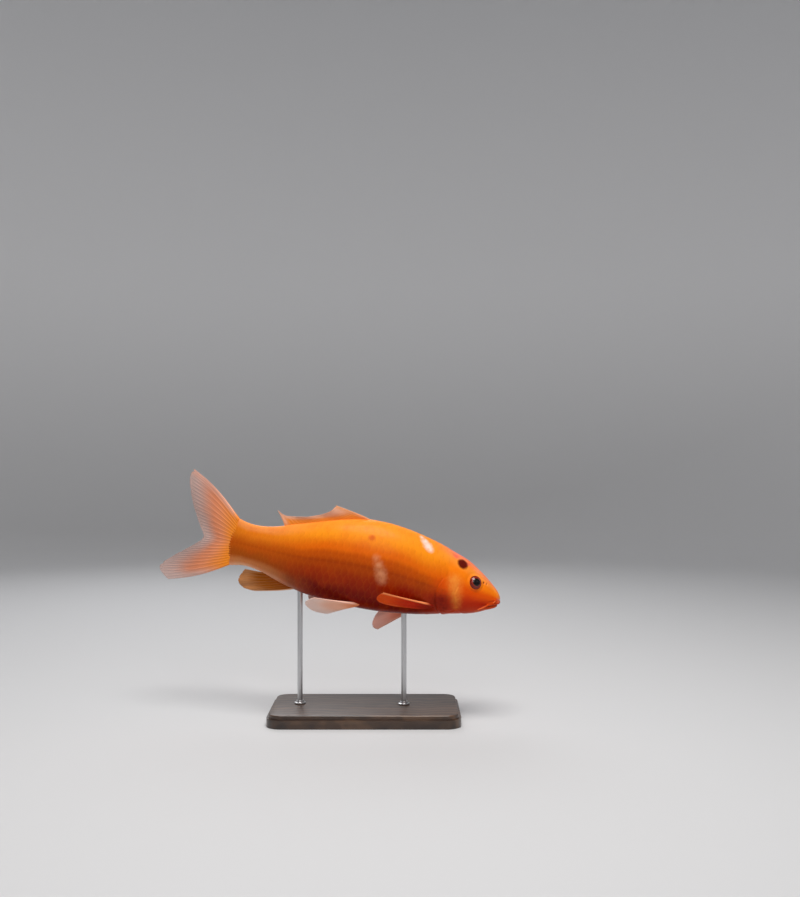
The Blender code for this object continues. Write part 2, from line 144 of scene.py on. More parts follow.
@functools.cache
def section(share):
    """The body's back, belly, half width and widest level at a share of its length, in metres."""
    return [value * LENGTH for value in smooth_through(BODY_KEYS, math.sqrt(max(share, 0.0)))]


back, belly, half, level = section(0.45)
print("deepest section's height and width in mm:", in_mm((back + belly, 2 * half)))


# %% The spine, and a point of the straight fish put in its place
@functools.cache
def heading(along):
    """How far the spine is turned to the fish's left at a distance from the snout."""
    share = (along / LENGTH - BEND_FROM) / (BEND_TO - BEND_FROM)
    share = min(max(share, 0.0), 1.0)
    return TAIL_BEND * share * share * (3 - 2 * share)


@functools.cache
def spine(along, steps=48):
    """The spine's (ahead, left) at a distance from the snout, by adding short steps."""
    start = BEND_FROM * LENGTH
    if along <= start:
        return -along, 0.0
    step = (along - start) / steps
    turns = [heading(start + (k + 0.5) * step) for k in range(steps)]
    return -start - step * sum(map(math.cos, turns)), step * sum(map(math.sin, turns))


NOSE_DOWN = Matrix.Rotation(PITCH, 3, "Y")


def place(along, side, up):
    """A point of the fish's straight frame, in the row frame."""
    ahead, left = spine(along)
    turn = heading(along)
    point = Vector((ahead + side * math.sin(turn), left + side * math.cos(turn), up))
    point.x += OVER_BASE * LENGTH
    point = NOSE_DOWN @ point
    point.z += AXIS_HEIGHT
    return point


def place_on(point, hand):
    """A point of the left side (hand 1) put in its place, or its mirror image (hand -1)."""
    return place(point.x, hand * point.y, point.z)


snout = place(0, 0, 0)
print("snout at", [round(v, 4) for v in snout])


# %% The outline of a section, and the side of the head
def outline(share, turn, grow=0.0):
    """The body's (side, up) at a share of its length; turn runs from the back round by the left."""
    back, belly, half, level = section(share)
    over = math.cos(turn) > 0
    power = BACK_POWER if over else BELLY_POWER
    tall = (back - level) if over else (belly + level)
    sine, cosine = math.sin(turn), math.cos(turn)
    side = math.copysign(abs(sine) ** (2 / power), sine) * (half + grow)
    up = math.copysign(abs(cosine) ** (2 / power), cosine) * (tall + grow)
    return side, level + up


HALVINGS = 30  # steps that find a height on a section


def cheek(share, up):
    """How far the body's surface is from the middle plane at a height."""
    low, high = 0.0, math.pi
    for _ in range(HALVINGS):
        middle = (low + high) / 2
        if outline(share, middle)[1] > up:
            low = middle
        else:
            high = middle
    return outline(share, low)[0]


def cheek_point(share, up):
    """A point of the head's left side in the straight frame; share and up are shares of LENGTH."""
    return Vector((share * LENGTH, cheek(share, up * LENGTH), up * LENGTH))


def cheek_normal(share, up, step=0.0005):
    """The direction that the head's left side faces there, in the straight frame."""
    side = cheek(share, up * LENGTH)
    back_slope = (cheek(share + step / LENGTH, up * LENGTH) - side) / step
    up_slope = (cheek(share, up * LENGTH + step) - side) / step
    return Vector((-back_slope, 1.0, -up_slope)).normalized()


EYE_AT = (0.1050, 0.0520)  # share along and up
EYE_SINK = 0.0019
EYE_GIRTH = 0.0068
EYE_THICKNESS = 0.0044
EYE_OUTWARD = cheek_normal(*EYE_AT)
EYE_CENTRE = cheek_point(*EYE_AT) - EYE_SINK * EYE_OUTWARD
print("eye centre in the straight frame:", in_mm(EYE_CENTRE), "mm")

# %% [markdown]
# ## Small curves for modelling
# Folds, grooves and ridges are all sums of two shapes: a bell, which is high at nought and gone a
# few widths away, and a rise, which climbs smoothly from 0 to 1 between two values. Heights and
# widths are in metres.


# %% The bell and the rise
def bell(distance, width):
    return math.exp(-((distance / width) ** 2))


def rise(value, low, high):
    share = min(max((value - low) / (high - low), 0.0), 1.0)
    return share * share * (3 - 2 * share)


def ridges(distance, rows):
    """A sum of bells; each row is a height, the distance where its bell stands, and its width."""
    return sum(height * bell(distance - at, width) for height, at, width in rows)


print("a bell one width out:", round(bell(1, 1), 2), " a rise half way:", rise(0.5, 0, 1))

# %% [markdown]
# ## The relief of the skin
# The head is where a fish is known by its face. On the real carp the lips are soft folds round a
# small mouth, the nostrils lie in front of the eye, a ring of skin holds the eyeball, and the gill
# cover is a bony plate whose free edge stands over a slit. Each is written as a height over the
# plain outline, in the straight frame, and the skin is pushed out by their sum. This keeps the
# skin one closed surface, which sculpting separate lumps would not.

# %% The mouth and lips
MOUTH_LEVEL = -0.0124 * LENGTH  # where the mouth's line meets the snout
MOUTH_SLOPE = -0.3214  # it runs down towards its corner
MOUTH_END = 0.0150
LIP = 0.0019  # from the mouth's line to the fullest part of a lip
# Over the mouth's line: the two lips, the folds past them and the slit between.
LIP_RIDGES = (
    (0.00055, LIP, 0.0012), (0.00050, -LIP, 0.0012),
    (-0.00050, 2.3 * LIP, 0.0007), (-0.00038, -2.2 * LIP, 0.0008), (-0.00125, 0.0, 0.00055),
)


def mouth(along, up):
    over = (up - MOUTH_LEVEL - MOUTH_SLOPE * along) * math.cos(math.atan(MOUTH_SLOPE))
    here = 1 - rise(along, 0.70 * MOUTH_END, MOUTH_END)
    corner = 0.00040 * bell(along - MOUTH_END, 0.0011) * bell(over + 0.0008, 0.0034)
    return ridges(over, LIP_RIDGES) * here - corner


print("height on the upper lip:", round(mouth(0, MOUTH_LEVEL + LIP) / MM, 2), "mm")

# %% The nostrils and the ring of skin round the eye
NOSTRIL_FRONT = cheek_point(0.0630, 0.0530)
NOSTRIL_REAR = cheek_point(0.0735, 0.0565)
NOSTRIL_FLAP = (NOSTRIL_FRONT + NOSTRIL_REAR) / 2
# A nostril is two pits with a flap of skin between them: the middle, height and width of each.
NOSTRIL_BELLS = (
    (NOSTRIL_FLAP, 0.00035, 0.0034), (NOSTRIL_FLAP, 0.00075, 0.00060),
    (NOSTRIL_FRONT, -0.0013, 0.00095), (NOSTRIL_REAR, -0.0013, 0.00120),
)
EYE_RIM = 0.0065  # radius of the ring's crest
EYE_RIDGES = ((0.00045, EYE_RIM, 0.0009), (-0.00028, EYE_RIM + 0.0026, 0.0010))  # crest and furrow
RING_REACH = 0.014  # nothing of the ring is left past this radius
RING_DEPTH = 0.006  # nor this far inside the head
SOCKET_DEPTH = 0.0034  # of the hollow that holds the eyeball


def nostrils(spot):
    return sum(height * bell((spot - middle).length, width) for middle, height, width in NOSTRIL_BELLS)


def off_eye(spot):
    """How far a place is out from the eyeball's middle plane, and off its axis."""
    off = spot - EYE_CENTRE
    over = off.dot(EYE_OUTWARD)
    return over, (off - over * EYE_OUTWARD).length


def eye_ring(spot):
    """The skin dives under the eyeball and stands up as a ring round it."""
    over, radius = off_eye(spot)
    if over < -RING_DEPTH or radius > RING_REACH:
        return 0.0
    hollow = SOCKET_DEPTH * (1 - rise(radius, EYE_RIM - 0.0012, EYE_RIM - 0.0003))
    return ridges(radius, EYE_RIDGES) - hollow


# %% The gill cover, the cheek plate before it and the rays under the throat
GILL_CENTRE = (0.182 * LENGTH, -0.010 * LENGTH)
GILL_RADII = (0.054 * LENGTH, 0.080 * LENGTH)
CHEEK_CENTRE = (0.112 * LENGTH, -0.004 * LENGTH)
CHEEK_RADII = (0.060 * LENGTH, 0.070 * LENGTH)
# Past the ovals' edges: the gill cover's seam and slit, and the cheek's rim and groove.
GILL_RIDGES = ((-0.00018, -0.0024, 0.0008), (-0.00100, 0.0010, 0.0007))
CHEEK_RIDGES = ((0.00022, -0.0013, 0.0014), (-0.00032, 0.0, 0.0008))


def past_oval(along, up, centre, radii):
    """How far a place is past an oval's edge, and the cosine and sine of its direction."""
    ahead, over = along - centre[0], up - centre[1]
    far = math.hypot(ahead, over) + 1e-9
    reach = math.hypot(ahead / radii[0], over / radii[1]) + 1e-9
    return far * (1 - 1 / reach), ahead / far, over / far


def gill_cover(along, up):
    past, cosine, sine = past_oval(along, up, GILL_CENTRE, GILL_RADII)
    behind = rise(cosine, 0.35, 0.85) if sine > 0 else rise(cosine, -0.20, 0.15)
    plate = 0.00065 * (1 - rise(past, -0.0002, 0.0006)) * math.exp(min(past, 0.0) / 0.008)
    return (plate + ridges(past, GILL_RIDGES)) * behind


def cheek_plate(along, up):
    past, cosine, sine = past_oval(along, up, CHEEK_CENTRE, CHEEK_RADII)
    here = rise(cosine, -0.20, 0.25) * (1 - rise(sine, 0.35, 0.75))
    muscle = 0.00035 * math.exp(-((along - 0.0380) ** 2 + (up + 0.0010) ** 2) / 0.0065**2)
    return ridges(past, CHEEK_RIDGES) * here + muscle


def throat_rays(along, up):
    """Three flat rays in the skin under the gill cover."""
    past = past_oval(along, up, GILL_CENTRE, GILL_RADII)[0]
    here = rise(-up, 0.0140, 0.0180) * rise(along, 0.026, 0.036) * (1 - rise(past, -0.0030, -0.0012))
    return 0.00016 * math.cos(2 * math.pi * past / 0.0034) * here


# %% The fullness round the fins' roots and along the back
SHOULDER = cheek_point(0.246, -0.064)
HIP = cheek_point(0.512, -0.118)
KEEL_WIDTH = 0.06
FACE_END = 0.35  # share of LENGTH past which the face's relief is nought


def fin_beds(share, turn, spot):
    """Low mounds where the fins leave the body, and a keel under the back fin."""
    shoulder = 0.0010 * bell((spot - SHOULDER).length, 0.0090)
    hip = 0.0006 * bell((spot - HIP).length, 0.0080)
    keel = rise(share, 0.47, 0.52) * (1 - rise(share, 0.80, 0.86))
    lower_keel = rise(share, 0.74, 0.77) * (1 - rise(share, 0.83, 0.87))
    back_keel = keel * bell(math.sin(turn / 2), KEEL_WIDTH)
    belly_keel = lower_keel * bell(math.cos(turn / 2), KEEL_WIDTH)
    return shoulder + hip + 0.0006 * (back_keel + belly_keel)


def relief(share, turn, along, side, up):
    """The height of the skin over the plain outline, in metres, from both sides alike."""
    spot = Vector((along, abs(side), up))
    height = fin_beds(share, turn, spot)
    if share < FACE_END:
        height += mouth(along, up) + nostrils(spot) + eye_ring(spot)
        height += gill_cover(along, up) + cheek_plate(along, up) + throat_rays(along, up)
    return height


print("depth of the gill slit:", round(gill_cover(GILL_CENTRE[0] + GILL_RADII[0] + 0.001, -0.0016) / MM, 2))

# %% [markdown]
# ## One skin
# The flesh was packed as several solids with thin cuts between them, and a real fish shows no
# such seams. One flat grid is made finer where the face needs it and then wrapped round the
# sections, with its two long sides joined under the back's middle line. It lies a coat's depth
# inside the flesh, so that the scales can lie on it within the true outline. Three numbers go with
# each corner for the paint: how far along the body it is, how far round from back to belly, and how
# much painted shade it gets where it sinks into a slit or a nostril.

# %% Work that every mesh needs
MERGE = 1e-6  # metres between corners that are one
SHARP = math.radians(32)  # edges sharper than this are drawn sharp


def merge(made):
    bmesh.ops.remove_doubles(made, verts=made.verts, dist=MERGE)


def float_layers(made, *keys):
    """Numbers that go with each corner, for the paint to read by name."""
    return [made.verts.layers.float.new(key) for key in keys]


def face_outwards(made):
    """Makes all faces agree, then turns them round if the shape holds less than nothing."""
    bmesh.ops.recalc_face_normals(made, faces=made.faces)
    if made.calc_volume(signed=True) < 0:
        bmesh.ops.reverse_faces(made, faces=made.faces)
    made.normal_update()


# %% Fold a grid round the body
COAT = 0.00035  # depth of the coat of scales
# The skin's painted shade in slits and nostrils begins and is full at these depths.
SLIT_SHADE_DEPTHS = (0.00035, 0.00090)  # depths of a slit where its dark begins and is full
SKIN_COLUMNS = 216
SKIN_ROWS = 132
FINE_UNTIL = 0.262  # share of LENGTH where the finer grid of the head ends
NEAR_EYE = 0.0085
TRUNK_NODES = (
    "head", "lower_jaw", "gill_cover_left", "gill_cover_right",
    "trunk_front", "trunk_rear", "tail_stalk",
)


def round_share(turn):
    """0 on the back, 1 on the belly, the same on both sides."""
    return math.acos(max(-1.0, min(1.0, math.cos(turn)))) / math.pi


def skin_grid():
    """A flat grid over (root of the share, turn), finer over the head and finest round the eyes."""
    made = bmesh.new()
    bmesh.ops.create_grid(made, x_segments=SKIN_COLUMNS, y_segments=SKIN_ROWS, size=0.5)
    for corner in made.verts:
        corner.co.x = (corner.co.x + 0.5) * math.sqrt(TAIL_END)
        corner.co.y = (corner.co.y + 0.5) * 2 * math.pi
    refine(made, lambda share, turn: share < FINE_UNTIL)
    refine(made, near_eye)
    return made


def refine(made, wanted):
    edges = [e for e in made.edges if all(wanted(c.co.x**2, c.co.y) for c in e.verts)]
    bmesh.ops.subdivide_edges(made, edges=edges, cuts=1, use_grid_fill=True)


def near_eye(share, turn):
    if not 0.05 < share < 0.16:
        return False
    side, up = outline(share, turn)
    over, radius = off_eye(Vector((share * LENGTH, abs(side), up)))
    return radius < NEAR_EYE and over > -0.005


def wrap_skin():
    made = skin_grid()
    along_layer, round_layer, slit_shade_layer, turn_layer = float_layers(made, "along", "round", "deep", "turn")
    for corner in made.verts:
        share, turn = corner.co.x**2, corner.co.y
        side, up = outline(share, turn, -COAT if share > 0 else 0.0)
        corner[along_layer] = share
        corner[round_layer] = round_share(turn)
        corner[turn_layer] = turn
        corner.co = place(share * LENGTH, 0.0 if share > TAIL_END - MERGE else side, up)
    merge(made)
    face_outwards(made)
    for corner in made.verts:
        share, turn = corner[along_layer], corner[turn_layer]
        side, up = outline(share, turn, -COAT)
        height = relief(share, turn, share * LENGTH, side, up)
        corner.co += corner.normal * height
        # painted shade: the further the skin sinks into a slit or a nostril, the darker it is painted
        corner[slit_shade_layer] = rise(-height, *SLIT_SHADE_DEPTHS)
    made.verts.layers.float.remove(turn_layer)
    return made


# %% Objects from what a bmesh holds
def in_scene(name, data):
    item = bpy.data.objects.new(name, data)
    bpy.context.scene.collection.objects.link(item)
    return item


def from_bmesh(name, made):
    mesh = bpy.data.meshes.new(name)
    made.to_mesh(mesh)
    made.free()
    mesh.shade_smooth()
    return in_scene(name, mesh)


def finished(name, made, sharp=False, closed=True):
    """An object at the origin from a bmesh; a closed one has its faces turned outwards."""
    if closed:
        face_outwards(made)
    item = from_bmesh(name, made)
    if sharp:
        item.data.set_sharp_from_angle(angle=SHARP)
    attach(item, "root")
    print(name, "faces:", len(item.data.polygons))
    return item


skin = finished("koi_skin", wrap_skin())
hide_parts(*TRUNK_NODES)

# %% [markdown]
# ## The coat of scales
# A carp has large round scales in lengthwise files. Each is a thin plate, rooted under the skin,
# with its free rear edge lying on the next, and neighbouring files are shifted half a scale, which
# draws the net that is seen on a koi's side. The plates are real, closed meshes here: one small
# grid each, wrapped on the same sections as the skin, and thickened together at the end.

# %% Arc lengths round a section
ARC_STEPS = 72  # from the back to the belly
SHARE_STEPS = 2000


@functools.cache
def girth_at(step):
    """Arc lengths from the back's middle line down the left side, at share step / SHARE_STEPS."""
    places = [outline(step / SHARE_STEPS, math.pi * k / ARC_STEPS) for k in range(ARC_STEPS + 1)]
    arcs = [0.0]
    for before, after in zip(places, places[1:]):
        arcs.append(arcs[-1] + math.dist(before, after))
    return arcs


def girth(share):
    return girth_at(round(share * SHARE_STEPS))


def half_girth(share):
    return girth(share)[-1]


def line_arc(share):
    """The arc from the back down to the lateral line, on the body's widest level."""
    return girth(share)[ARC_STEPS // 2]


def turn_at(share, arc):
    """The turn at an arc length from the back; past the back or the belly it goes on round."""
    arcs = girth(share)
    if arc < 0:
        return -turn_at(share, -arc)
    if arc > arcs[-1]:
        return 2 * math.pi - turn_at(share, 2 * arcs[-1] - arc)
    k = min(bisect.bisect_right(arcs, arc) - 1, ARC_STEPS - 1)
    return math.pi * (k + (arc - arcs[k]) / (arcs[k + 1] - arcs[k])) / ARC_STEPS


print("half girth at the deepest section:", round(half_girth(0.45) / MM, 1), "mm")

# %% The size of a scale, and the lattice they stand on
MID_GIRTH = 0.108  # half girth where a scale has its full size
EXPOSED = 0.0064  # one scale's step along its file there
FILE_GAP = 0.0088  # from one file to the next
SHRINK = 0.45  # power of the girth by which scales grow smaller towards the tail
FIRST_SCALE = 0.196
LAST_SCALE = 1.012
FILES = 8  # on each side of the lateral line, at most
THROAT_END = 0.262


def scale_size(share):
    return (half_girth(share) / MID_GIRTH) ** SHRINK


def scale_stations():
    """Shares of LENGTH half a scale's step apart."""
    stations = [FIRST_SCALE]
    while stations[-1] < LAST_SCALE:
        stations.append(stations[-1] + EXPOSED * scale_size(stations[-1]) / 2 / LENGTH)
    return stations


def bare(share, arc):
    """True on the head, over the gill cover and on the throat, where no scale grows."""
    side, up = outline(share, turn_at(share, arc))
    past = past_oval(share * LENGTH, up, GILL_CENTRE, GILL_RADII)[0]
    nape = FIRST_SCALE + 0.020 * rise(arc, 0.0, 0.4 * half_girth(share))
    throat = THROAT_END * rise(arc, 0.75 * half_girth(share), 0.95 * half_girth(share))
    return past < 0.0016 or share < max(nape, throat)


stations = scale_stations()
print("scales along the lateral line:", sum(not bare(s, line_arc(s)) for s in stations) // 2)

# %% One scale
SCALE_GRID = (4, 6)  # faces along and across
SCALE_LENGTH = 1.8  # in steps along the file, from its root to its rear edge
SCALE_BEHIND = 0.8  # of them behind its own place in the lattice
EDGE_CURVE = 0.72  # how far the rear edge falls back at its sides, in steps
TIP_HEIGHT = 0.00031  # the rear edge over the skin
STEP_HEIGHT = 0.00026  # one rear edge over the next scale
DOME = 0.00005
SCALE_THICK = 0.00012
SIZE_SPREAD = 0.03  # from scale to scale, as are the next two
TIP_SPREAD = 0.00003
SKEW_SPREAD = 0.05
PATCH = 0.003  # each scale's size on the unwrap
UNWRAP_MARGIN = 0.01


def add_scale(made, layers, share, file_centre, hand, draw):
    """A grid bent on to the body; file_centre(share) gives the arc of the file's middle line."""
    along_layer, round_layer, edge_layer, map_layer = layers
    size = scale_size(share) * draw.uniform(1 - SIZE_SPREAD, 1 + SIZE_SPREAD)
    step, gap = EXPOSED * size, FILE_GAP * size
    tip = TIP_HEIGHT + draw.uniform(-TIP_SPREAD, TIP_SPREAD)
    skew = draw.uniform(-SKEW_SPREAD, SKEW_SPREAD)
    shares = (share - FIRST_SCALE) / (LAST_SCALE - FIRST_SCALE), file_centre(share) / half_girth(share)
    map_root = [UNWRAP_MARGIN + (1 - 2 * UNWRAP_MARGIN) * part for part in shares]
    grid = bmesh.ops.create_grid(made, x_segments=SCALE_GRID[0], y_segments=SCALE_GRID[1], size=0.5)
    for corner in grid["verts"]:
        out, across = corner.co.x + 0.5, 2 * corner.co.y
        behind = out * (SCALE_LENGTH - EDGE_CURVE * across**2) - (SCALE_LENGTH - SCALE_BEHIND)
        here = share + behind * step / LENGTH
        arc = file_centre(here) + across * gap + skew * behind * step
        turn = hand * turn_at(here, arc)
        height = tip - (SCALE_BEHIND - behind) * STEP_HEIGHT - DOME * across**2
        corner[along_layer] = here
        corner[round_layer] = round_share(turn)
        corner[edge_layer] = out
        corner.co = place(here * LENGTH, *outline(here, turn, height - COAT))
        for loop in corner.link_loops:
            loop[map_layer].uv = (map_root[0] + PATCH * (out - 0.5), map_root[1] + PATCH * across / 2)


# %% The two sides' coats
SIDE_MARGIN = 0.3  # of a file's width, kept free at the middle lines
# The files on the middle lines of back and belly: each one's arc, and the shares that it covers.
MIDDLE_FILES = (
    (lambda share: 0.0, ((0.196, 0.485), (0.835, 0.985))),
    (half_girth, ((0.285, 0.740), (0.865, 0.985))),
)


def file_middle(number):
    """The arc of a file, counted down from the lateral line."""
    return lambda share: line_arc(share) + number * FILE_GAP * scale_size(share)


def coat(name, hand, with_middle):
    draw = random.Random(hand + 40)
    made = bmesh.new()
    layers = float_layers(made, "along", "round", "edge")
    layers.append(made.loops.layers.uv.new("OFBake"))
    count = 0
    for k, share in enumerate(stations):
        for number in range(-FILES, FILES + 1):
            middle = file_middle(number)
            free = SIDE_MARGIN * FILE_GAP * scale_size(share)
            arc = middle(share)
            inside = free < arc < half_girth(share) - free
            if (k + number) % 2 == 0 and inside and not bare(share, arc):
                add_scale(made, layers, share, middle, hand, draw)
                count += 1
        for middle, spans in MIDDLE_FILES:
            if with_middle and k % 2 == 0 and any(low < share < high for low, high in spans):
                add_scale(made, layers, share, middle, hand, draw)
                count += 1
    if hand > 0:
        bmesh.ops.reverse_faces(made, faces=made.faces)
    for edge in made.edges:
        edge.smooth = not edge.is_boundary
    print(name, "scales:", count)
    return finished(name, made, closed=False)


def thicken(item, thickness, offset=-1.0, group=None):
    wall = item.modifiers.new("thickness", "SOLIDIFY")
    wall.thickness = thickness
    wall.offset = offset
    wall.use_even_offset = False
    if group:
        wall.vertex_group = group.name


coats = [coat("scales_left", 1, True), coat("scales_right", -1, False)]
for side_coat in coats:
    thicken(side_coat, SCALE_THICK)

# %% [markdown]
# ## The fins
# A fin is a fan of bony rays under one thin web. Each ray is stiff and single at its root, forks
# once half way out and once more near the margin, and the web between the ends is a little
# notched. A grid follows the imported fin's own rays, and Solidify gives it a wall whose thickness
# is a weight at each corner, so the ribs show on both faces.

# %% The fans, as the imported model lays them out
SINK = 0.003  # how far a fin starts under the skin
TAIL_SWELL = 0.11
CUP = 0.06
# Share across the fin, then in shares of LENGTH the root's (along, up), the ray's length and its
# angle over the axis in degrees, looking towards the tail.
DORSAL_RAYS = (
    (0.00, 0.500, 0.1890, 0.156, 8.0),
    (0.13, 0.542, 0.1830, 0.124, 3.0),
    (0.35, 0.612, 0.1670, 0.094, -2.0),
    (0.60, 0.692, 0.1410, 0.073, 1.5),
    (0.85, 0.775, 0.1135, 0.053, 22.0),
    (1.00, 0.820, 0.0960, 0.066, 50.0),
)
ANAL_RAYS = (
    (0.00, 0.726, -0.1230, 0.166, -14.0),
    (0.35, 0.768, -0.1150, 0.178, -14.5),
    (0.70, 0.812, -0.1030, 0.148, -10.5),
    (1.00, 0.852, -0.0905, 0.086, -1.5),
)
TAIL_RAYS = (
    (0.00, 1.0025, 0.0800, 0.270, 31.5),
    (0.10, 1.0025, 0.0620, 0.268, 28.0),
    (0.25, 1.0025, 0.0360, 0.216, 18.0),
    (0.40, 1.0025, 0.0110, 0.158, 5.0),
    (0.50, 1.0025, -0.0060, 0.128, -5.0),
    (0.60, 1.0025, -0.0230, 0.163, -11.0),
    (0.76, 1.0025, -0.0500, 0.248, -15.5),
    (0.88, 1.0025, -0.0710, 0.300, -18.5),
    (1.00, 1.0025, -0.0925, 0.262, -25.5),
)
# The paired fins' last two numbers are how far a ray points down from the axis and out from the
# body, in degrees.
PECTORAL_RAYS = {
    "right": (
        (0.00, 0.246, -0.055, 0.196, -4.5, 26.0),
        (0.20, 0.250, -0.059, 0.202, -1.0, 23.0),
        (0.50, 0.256, -0.066, 0.188, 2.5, 17.0),
        (0.80, 0.262, -0.072, 0.150, 5.5, 11.0),
        (1.00, 0.266, -0.076, 0.100, 7.0, 7.0),
    ),
    "left": (
        (0.00, 0.246, -0.070, 0.232, 41.0, 20.0),
        (0.20, 0.249, -0.067, 0.246, 36.0, 23.0),
        (0.50, 0.254, -0.063, 0.216, 28.0, 26.0),
        (0.80, 0.259, -0.059, 0.158, 20.0, 27.0),
        (1.00, 0.263, -0.056, 0.112, 13.0, 27.0),
    ),
}
PELVIC_RAYS = {
    "right": (
        (0.00, 0.505, -0.112, 0.150, 3.0, 14.0),
        (0.30, 0.508, -0.117, 0.174, 10.0, 9.0),
        (0.65, 0.512, -0.123, 0.148, 19.0, 4.0),
        (1.00, 0.516, -0.128, 0.092, 30.0, 0.0),
    ),
    "left": (
        (0.00, 0.505, -0.112, 0.170, 5.0, 14.0),
        (0.30, 0.508, -0.117, 0.192, 8.0, 8.0),
        (0.65, 0.512, -0.123, 0.156, 15.0, 3.0),
        (1.00, 0.516, -0.128, 0.102, 25.0, 0.0),
    ),
}


def median_spread(lean=0.0, swell=0.0, sink=SINK, dip=0.0):
    """Rays in the middle plane: lean tips them to the left, swell bows them away from the axis and
    dip lets their roots into the body."""

    def spread(values, out):
        root_along, root_up, length, angle = values
        angle = math.radians(angle)
        reach = out * (length * LENGTH + sink) - sink
        bow = swell * math.sin(math.pi * out) * length * LENGTH * math.sin(angle)
        along = root_along * LENGTH + reach * math.cos(angle)
        up = root_up * LENGTH + reach * math.sin(angle) + bow - dip * (1 - out) ** 4
        return along, lean * max(reach, 0.0), up

    return spread


root_cheek = functools.cache(cheek)


def paired_spread(hand):
    """Rays that leave the body's side; hand is 1 for the fish's left and -1 for its right."""

    def spread(values, out):
        root_along, root_up, length, down, aside = values
        down, aside = math.radians(down), math.radians(aside)
        root_side = root_cheek(root_along, root_up * LENGTH)
        reach = out * (length * LENGTH + SINK) - SINK
        hollow = CUP * length * LENGTH * math.sin(math.pi * out)
        along = root_along * LENGTH + reach * math.cos(down) * math.cos(aside)
        side = root_side + reach * math.sin(aside) + hollow
        up = root_up * LENGTH - reach * math.sin(down)
        return along, hand * side, up

    return spread


# %% Rays, web and margin
WEB = 0.00034  # thickness of the web at the margin
RIB = 0.00062  # how much thicker a ray is near its root
RIB_WIDTH = 0.13  # of the space for one ray, at the root
RIB_TAPER = 0.06
FORKS = ((0.24, 0.30, 0.85), (0.11, 0.66, 1.0))  # how far each opens, and from where to where
NOTCH = 0.009
FRAY = 0.020


def rib(across, out, rays):
    """1 on a ray's crest and 0 on the web. Each ray forks, and each branch forks again."""
    off = abs((across * rays) % 1.0 - 0.5)
    for opening, start, end in FORKS:
        off = abs(off - opening * rise(out, start, end))
    return bell(off, RIB_WIDTH - RIB_TAPER * out)


def margin(across, rays):
    """How far out the web reaches, as a share of the ray: notched between rays, and a bit frayed."""
    notch = NOTCH * (1 - rib(across, 1.0, rays))
    fray = FRAY * max(0.0, math.sin(23.0 * across + 1.0) * math.sin(61.0 * across)) ** 3
    return 1 - notch - fray


# For each kind: how many rays, the grid's columns and rows, the thickness at the body and the power
# by which it falls, the extra thickness of the first ray, and the sideways ripple at the margin.
FIN_MAKES = {
    "dorsal": (20, 40, 220, 0.0016, 1.0, 0.0009, 0.0008),
    "anal": (8, 44, 112, 0.0018, 1.0, 0.0006, 0.0009),
    "tail": (20, 72, 280, 0.0046, 3.0, 0.0006, 0.0010),
    "pectoral": (15, 48, 168, 0.0024, 2.0, 0.0007, 0.0007),
    "pelvic": (9, 40, 112, 0.0024, 2.0, 0.0005, 0.0006),
}


def rayed_fin(kind, nodes, keys, spread, ending=""):
    """One fin: keys are its fan's rays, and spread(values, out) is a place on a ray."""
    rays, columns, rows, root, power, leading, wave = FIN_MAKES[kind]

    def thickness(across, out):
        web = WEB + (root - WEB) * (1 - out) ** power
        first = leading * bell(across * rays, 0.9) * (1 - 0.7 * out)
        return web + RIB * rib(across, out, rays) * (1 - 0.55 * out) + first

    made = bmesh.new()
    layers = float_layers(made, "out", "across", "ray")
    bmesh.ops.create_grid(made, x_segments=columns, y_segments=rows, size=0.5)
    walls = []
    for corner in made.verts:
        out, across = corner.co.x + 0.5, corner.co.y + 0.5
        for layer, value in zip(layers, (out, across, rib(across, out, rays))):
            corner[layer] = value
        along, side, up = spread(smooth_through(keys, across), out * margin(across, rays))
        side += wave * out**2 * math.sin(2 * math.pi * (2.3 * across + 0.4 * out))
        walls.append(thickness(across, out))
        corner.co = place(along, side, up)
    fin = finished(f"fin_{kind}{ending}", made, closed=False)
    group = fin.vertex_groups.new(name="thickness")
    for index, wall in enumerate(walls):
        group.add([index], wall / max(walls), "REPLACE")
    thicken(fin, max(walls), 0.0, group)
    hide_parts(*nodes)
    return fin


# %% All seven fins
HANDS = {"right": -1, "left": 1}
tail_spread = median_spread(swell=TAIL_SWELL, sink=0.0)
fins = [
    rayed_fin("dorsal", ["dorsal_fin"], DORSAL_RAYS, median_spread(lean=-0.04, dip=SINK)),
    rayed_fin("anal", ["anal_fin"], ANAL_RAYS, median_spread(lean=0.05, dip=-SINK)),
    rayed_fin("tail", ["tail_fin_upper", "tail_fin_lower"], TAIL_RAYS, tail_spread),
]
for side_name, hand in HANDS.items():
    for kind, keys in (("pectoral", PECTORAL_RAYS), ("pelvic", PELVIC_RAYS)):
        nodes = [f"{kind}_fin_{side_name}"]
        fins.append(rayed_fin(kind, nodes, keys[side_name], paired_spread(hand), f"_{side_name}"))

# %% [markdown]
# ## Eyes and barbels
# A carp's eye is a flattened ball: a black, bulging pupil in a dark red ring. It is turned from a
# profile with spin, and each corner keeps its distance from the middle for the paint. The
# barbels are soft feelers on the lip, tapered tubes with round ends.

# %% Turn the eyeballs
PUPIL = 0.56  # share of the eyeball's radius
EYE_STEPS = 56
EYE_RINGS = 24


def eye_profile():
    """(radius, height) from the back of the eyeball round to the middle of its front."""
    points = []
    for k in range(EYE_RINGS + 1):
        angle = math.pi * (k / EYE_RINGS - 0.5)
        radius, height = math.cos(angle), math.sin(angle)
        bulge = 0.0
        if height > 0:
            bulge = 0.075 * (1 - rise(radius, PUPIL - 0.05, PUPIL + 0.03)) + 0.035 * bell(radius - 0.72, 0.10)
        points.append((radius * EYE_GIRTH, height * EYE_THICKNESS + bulge * EYE_THICKNESS))
    return points


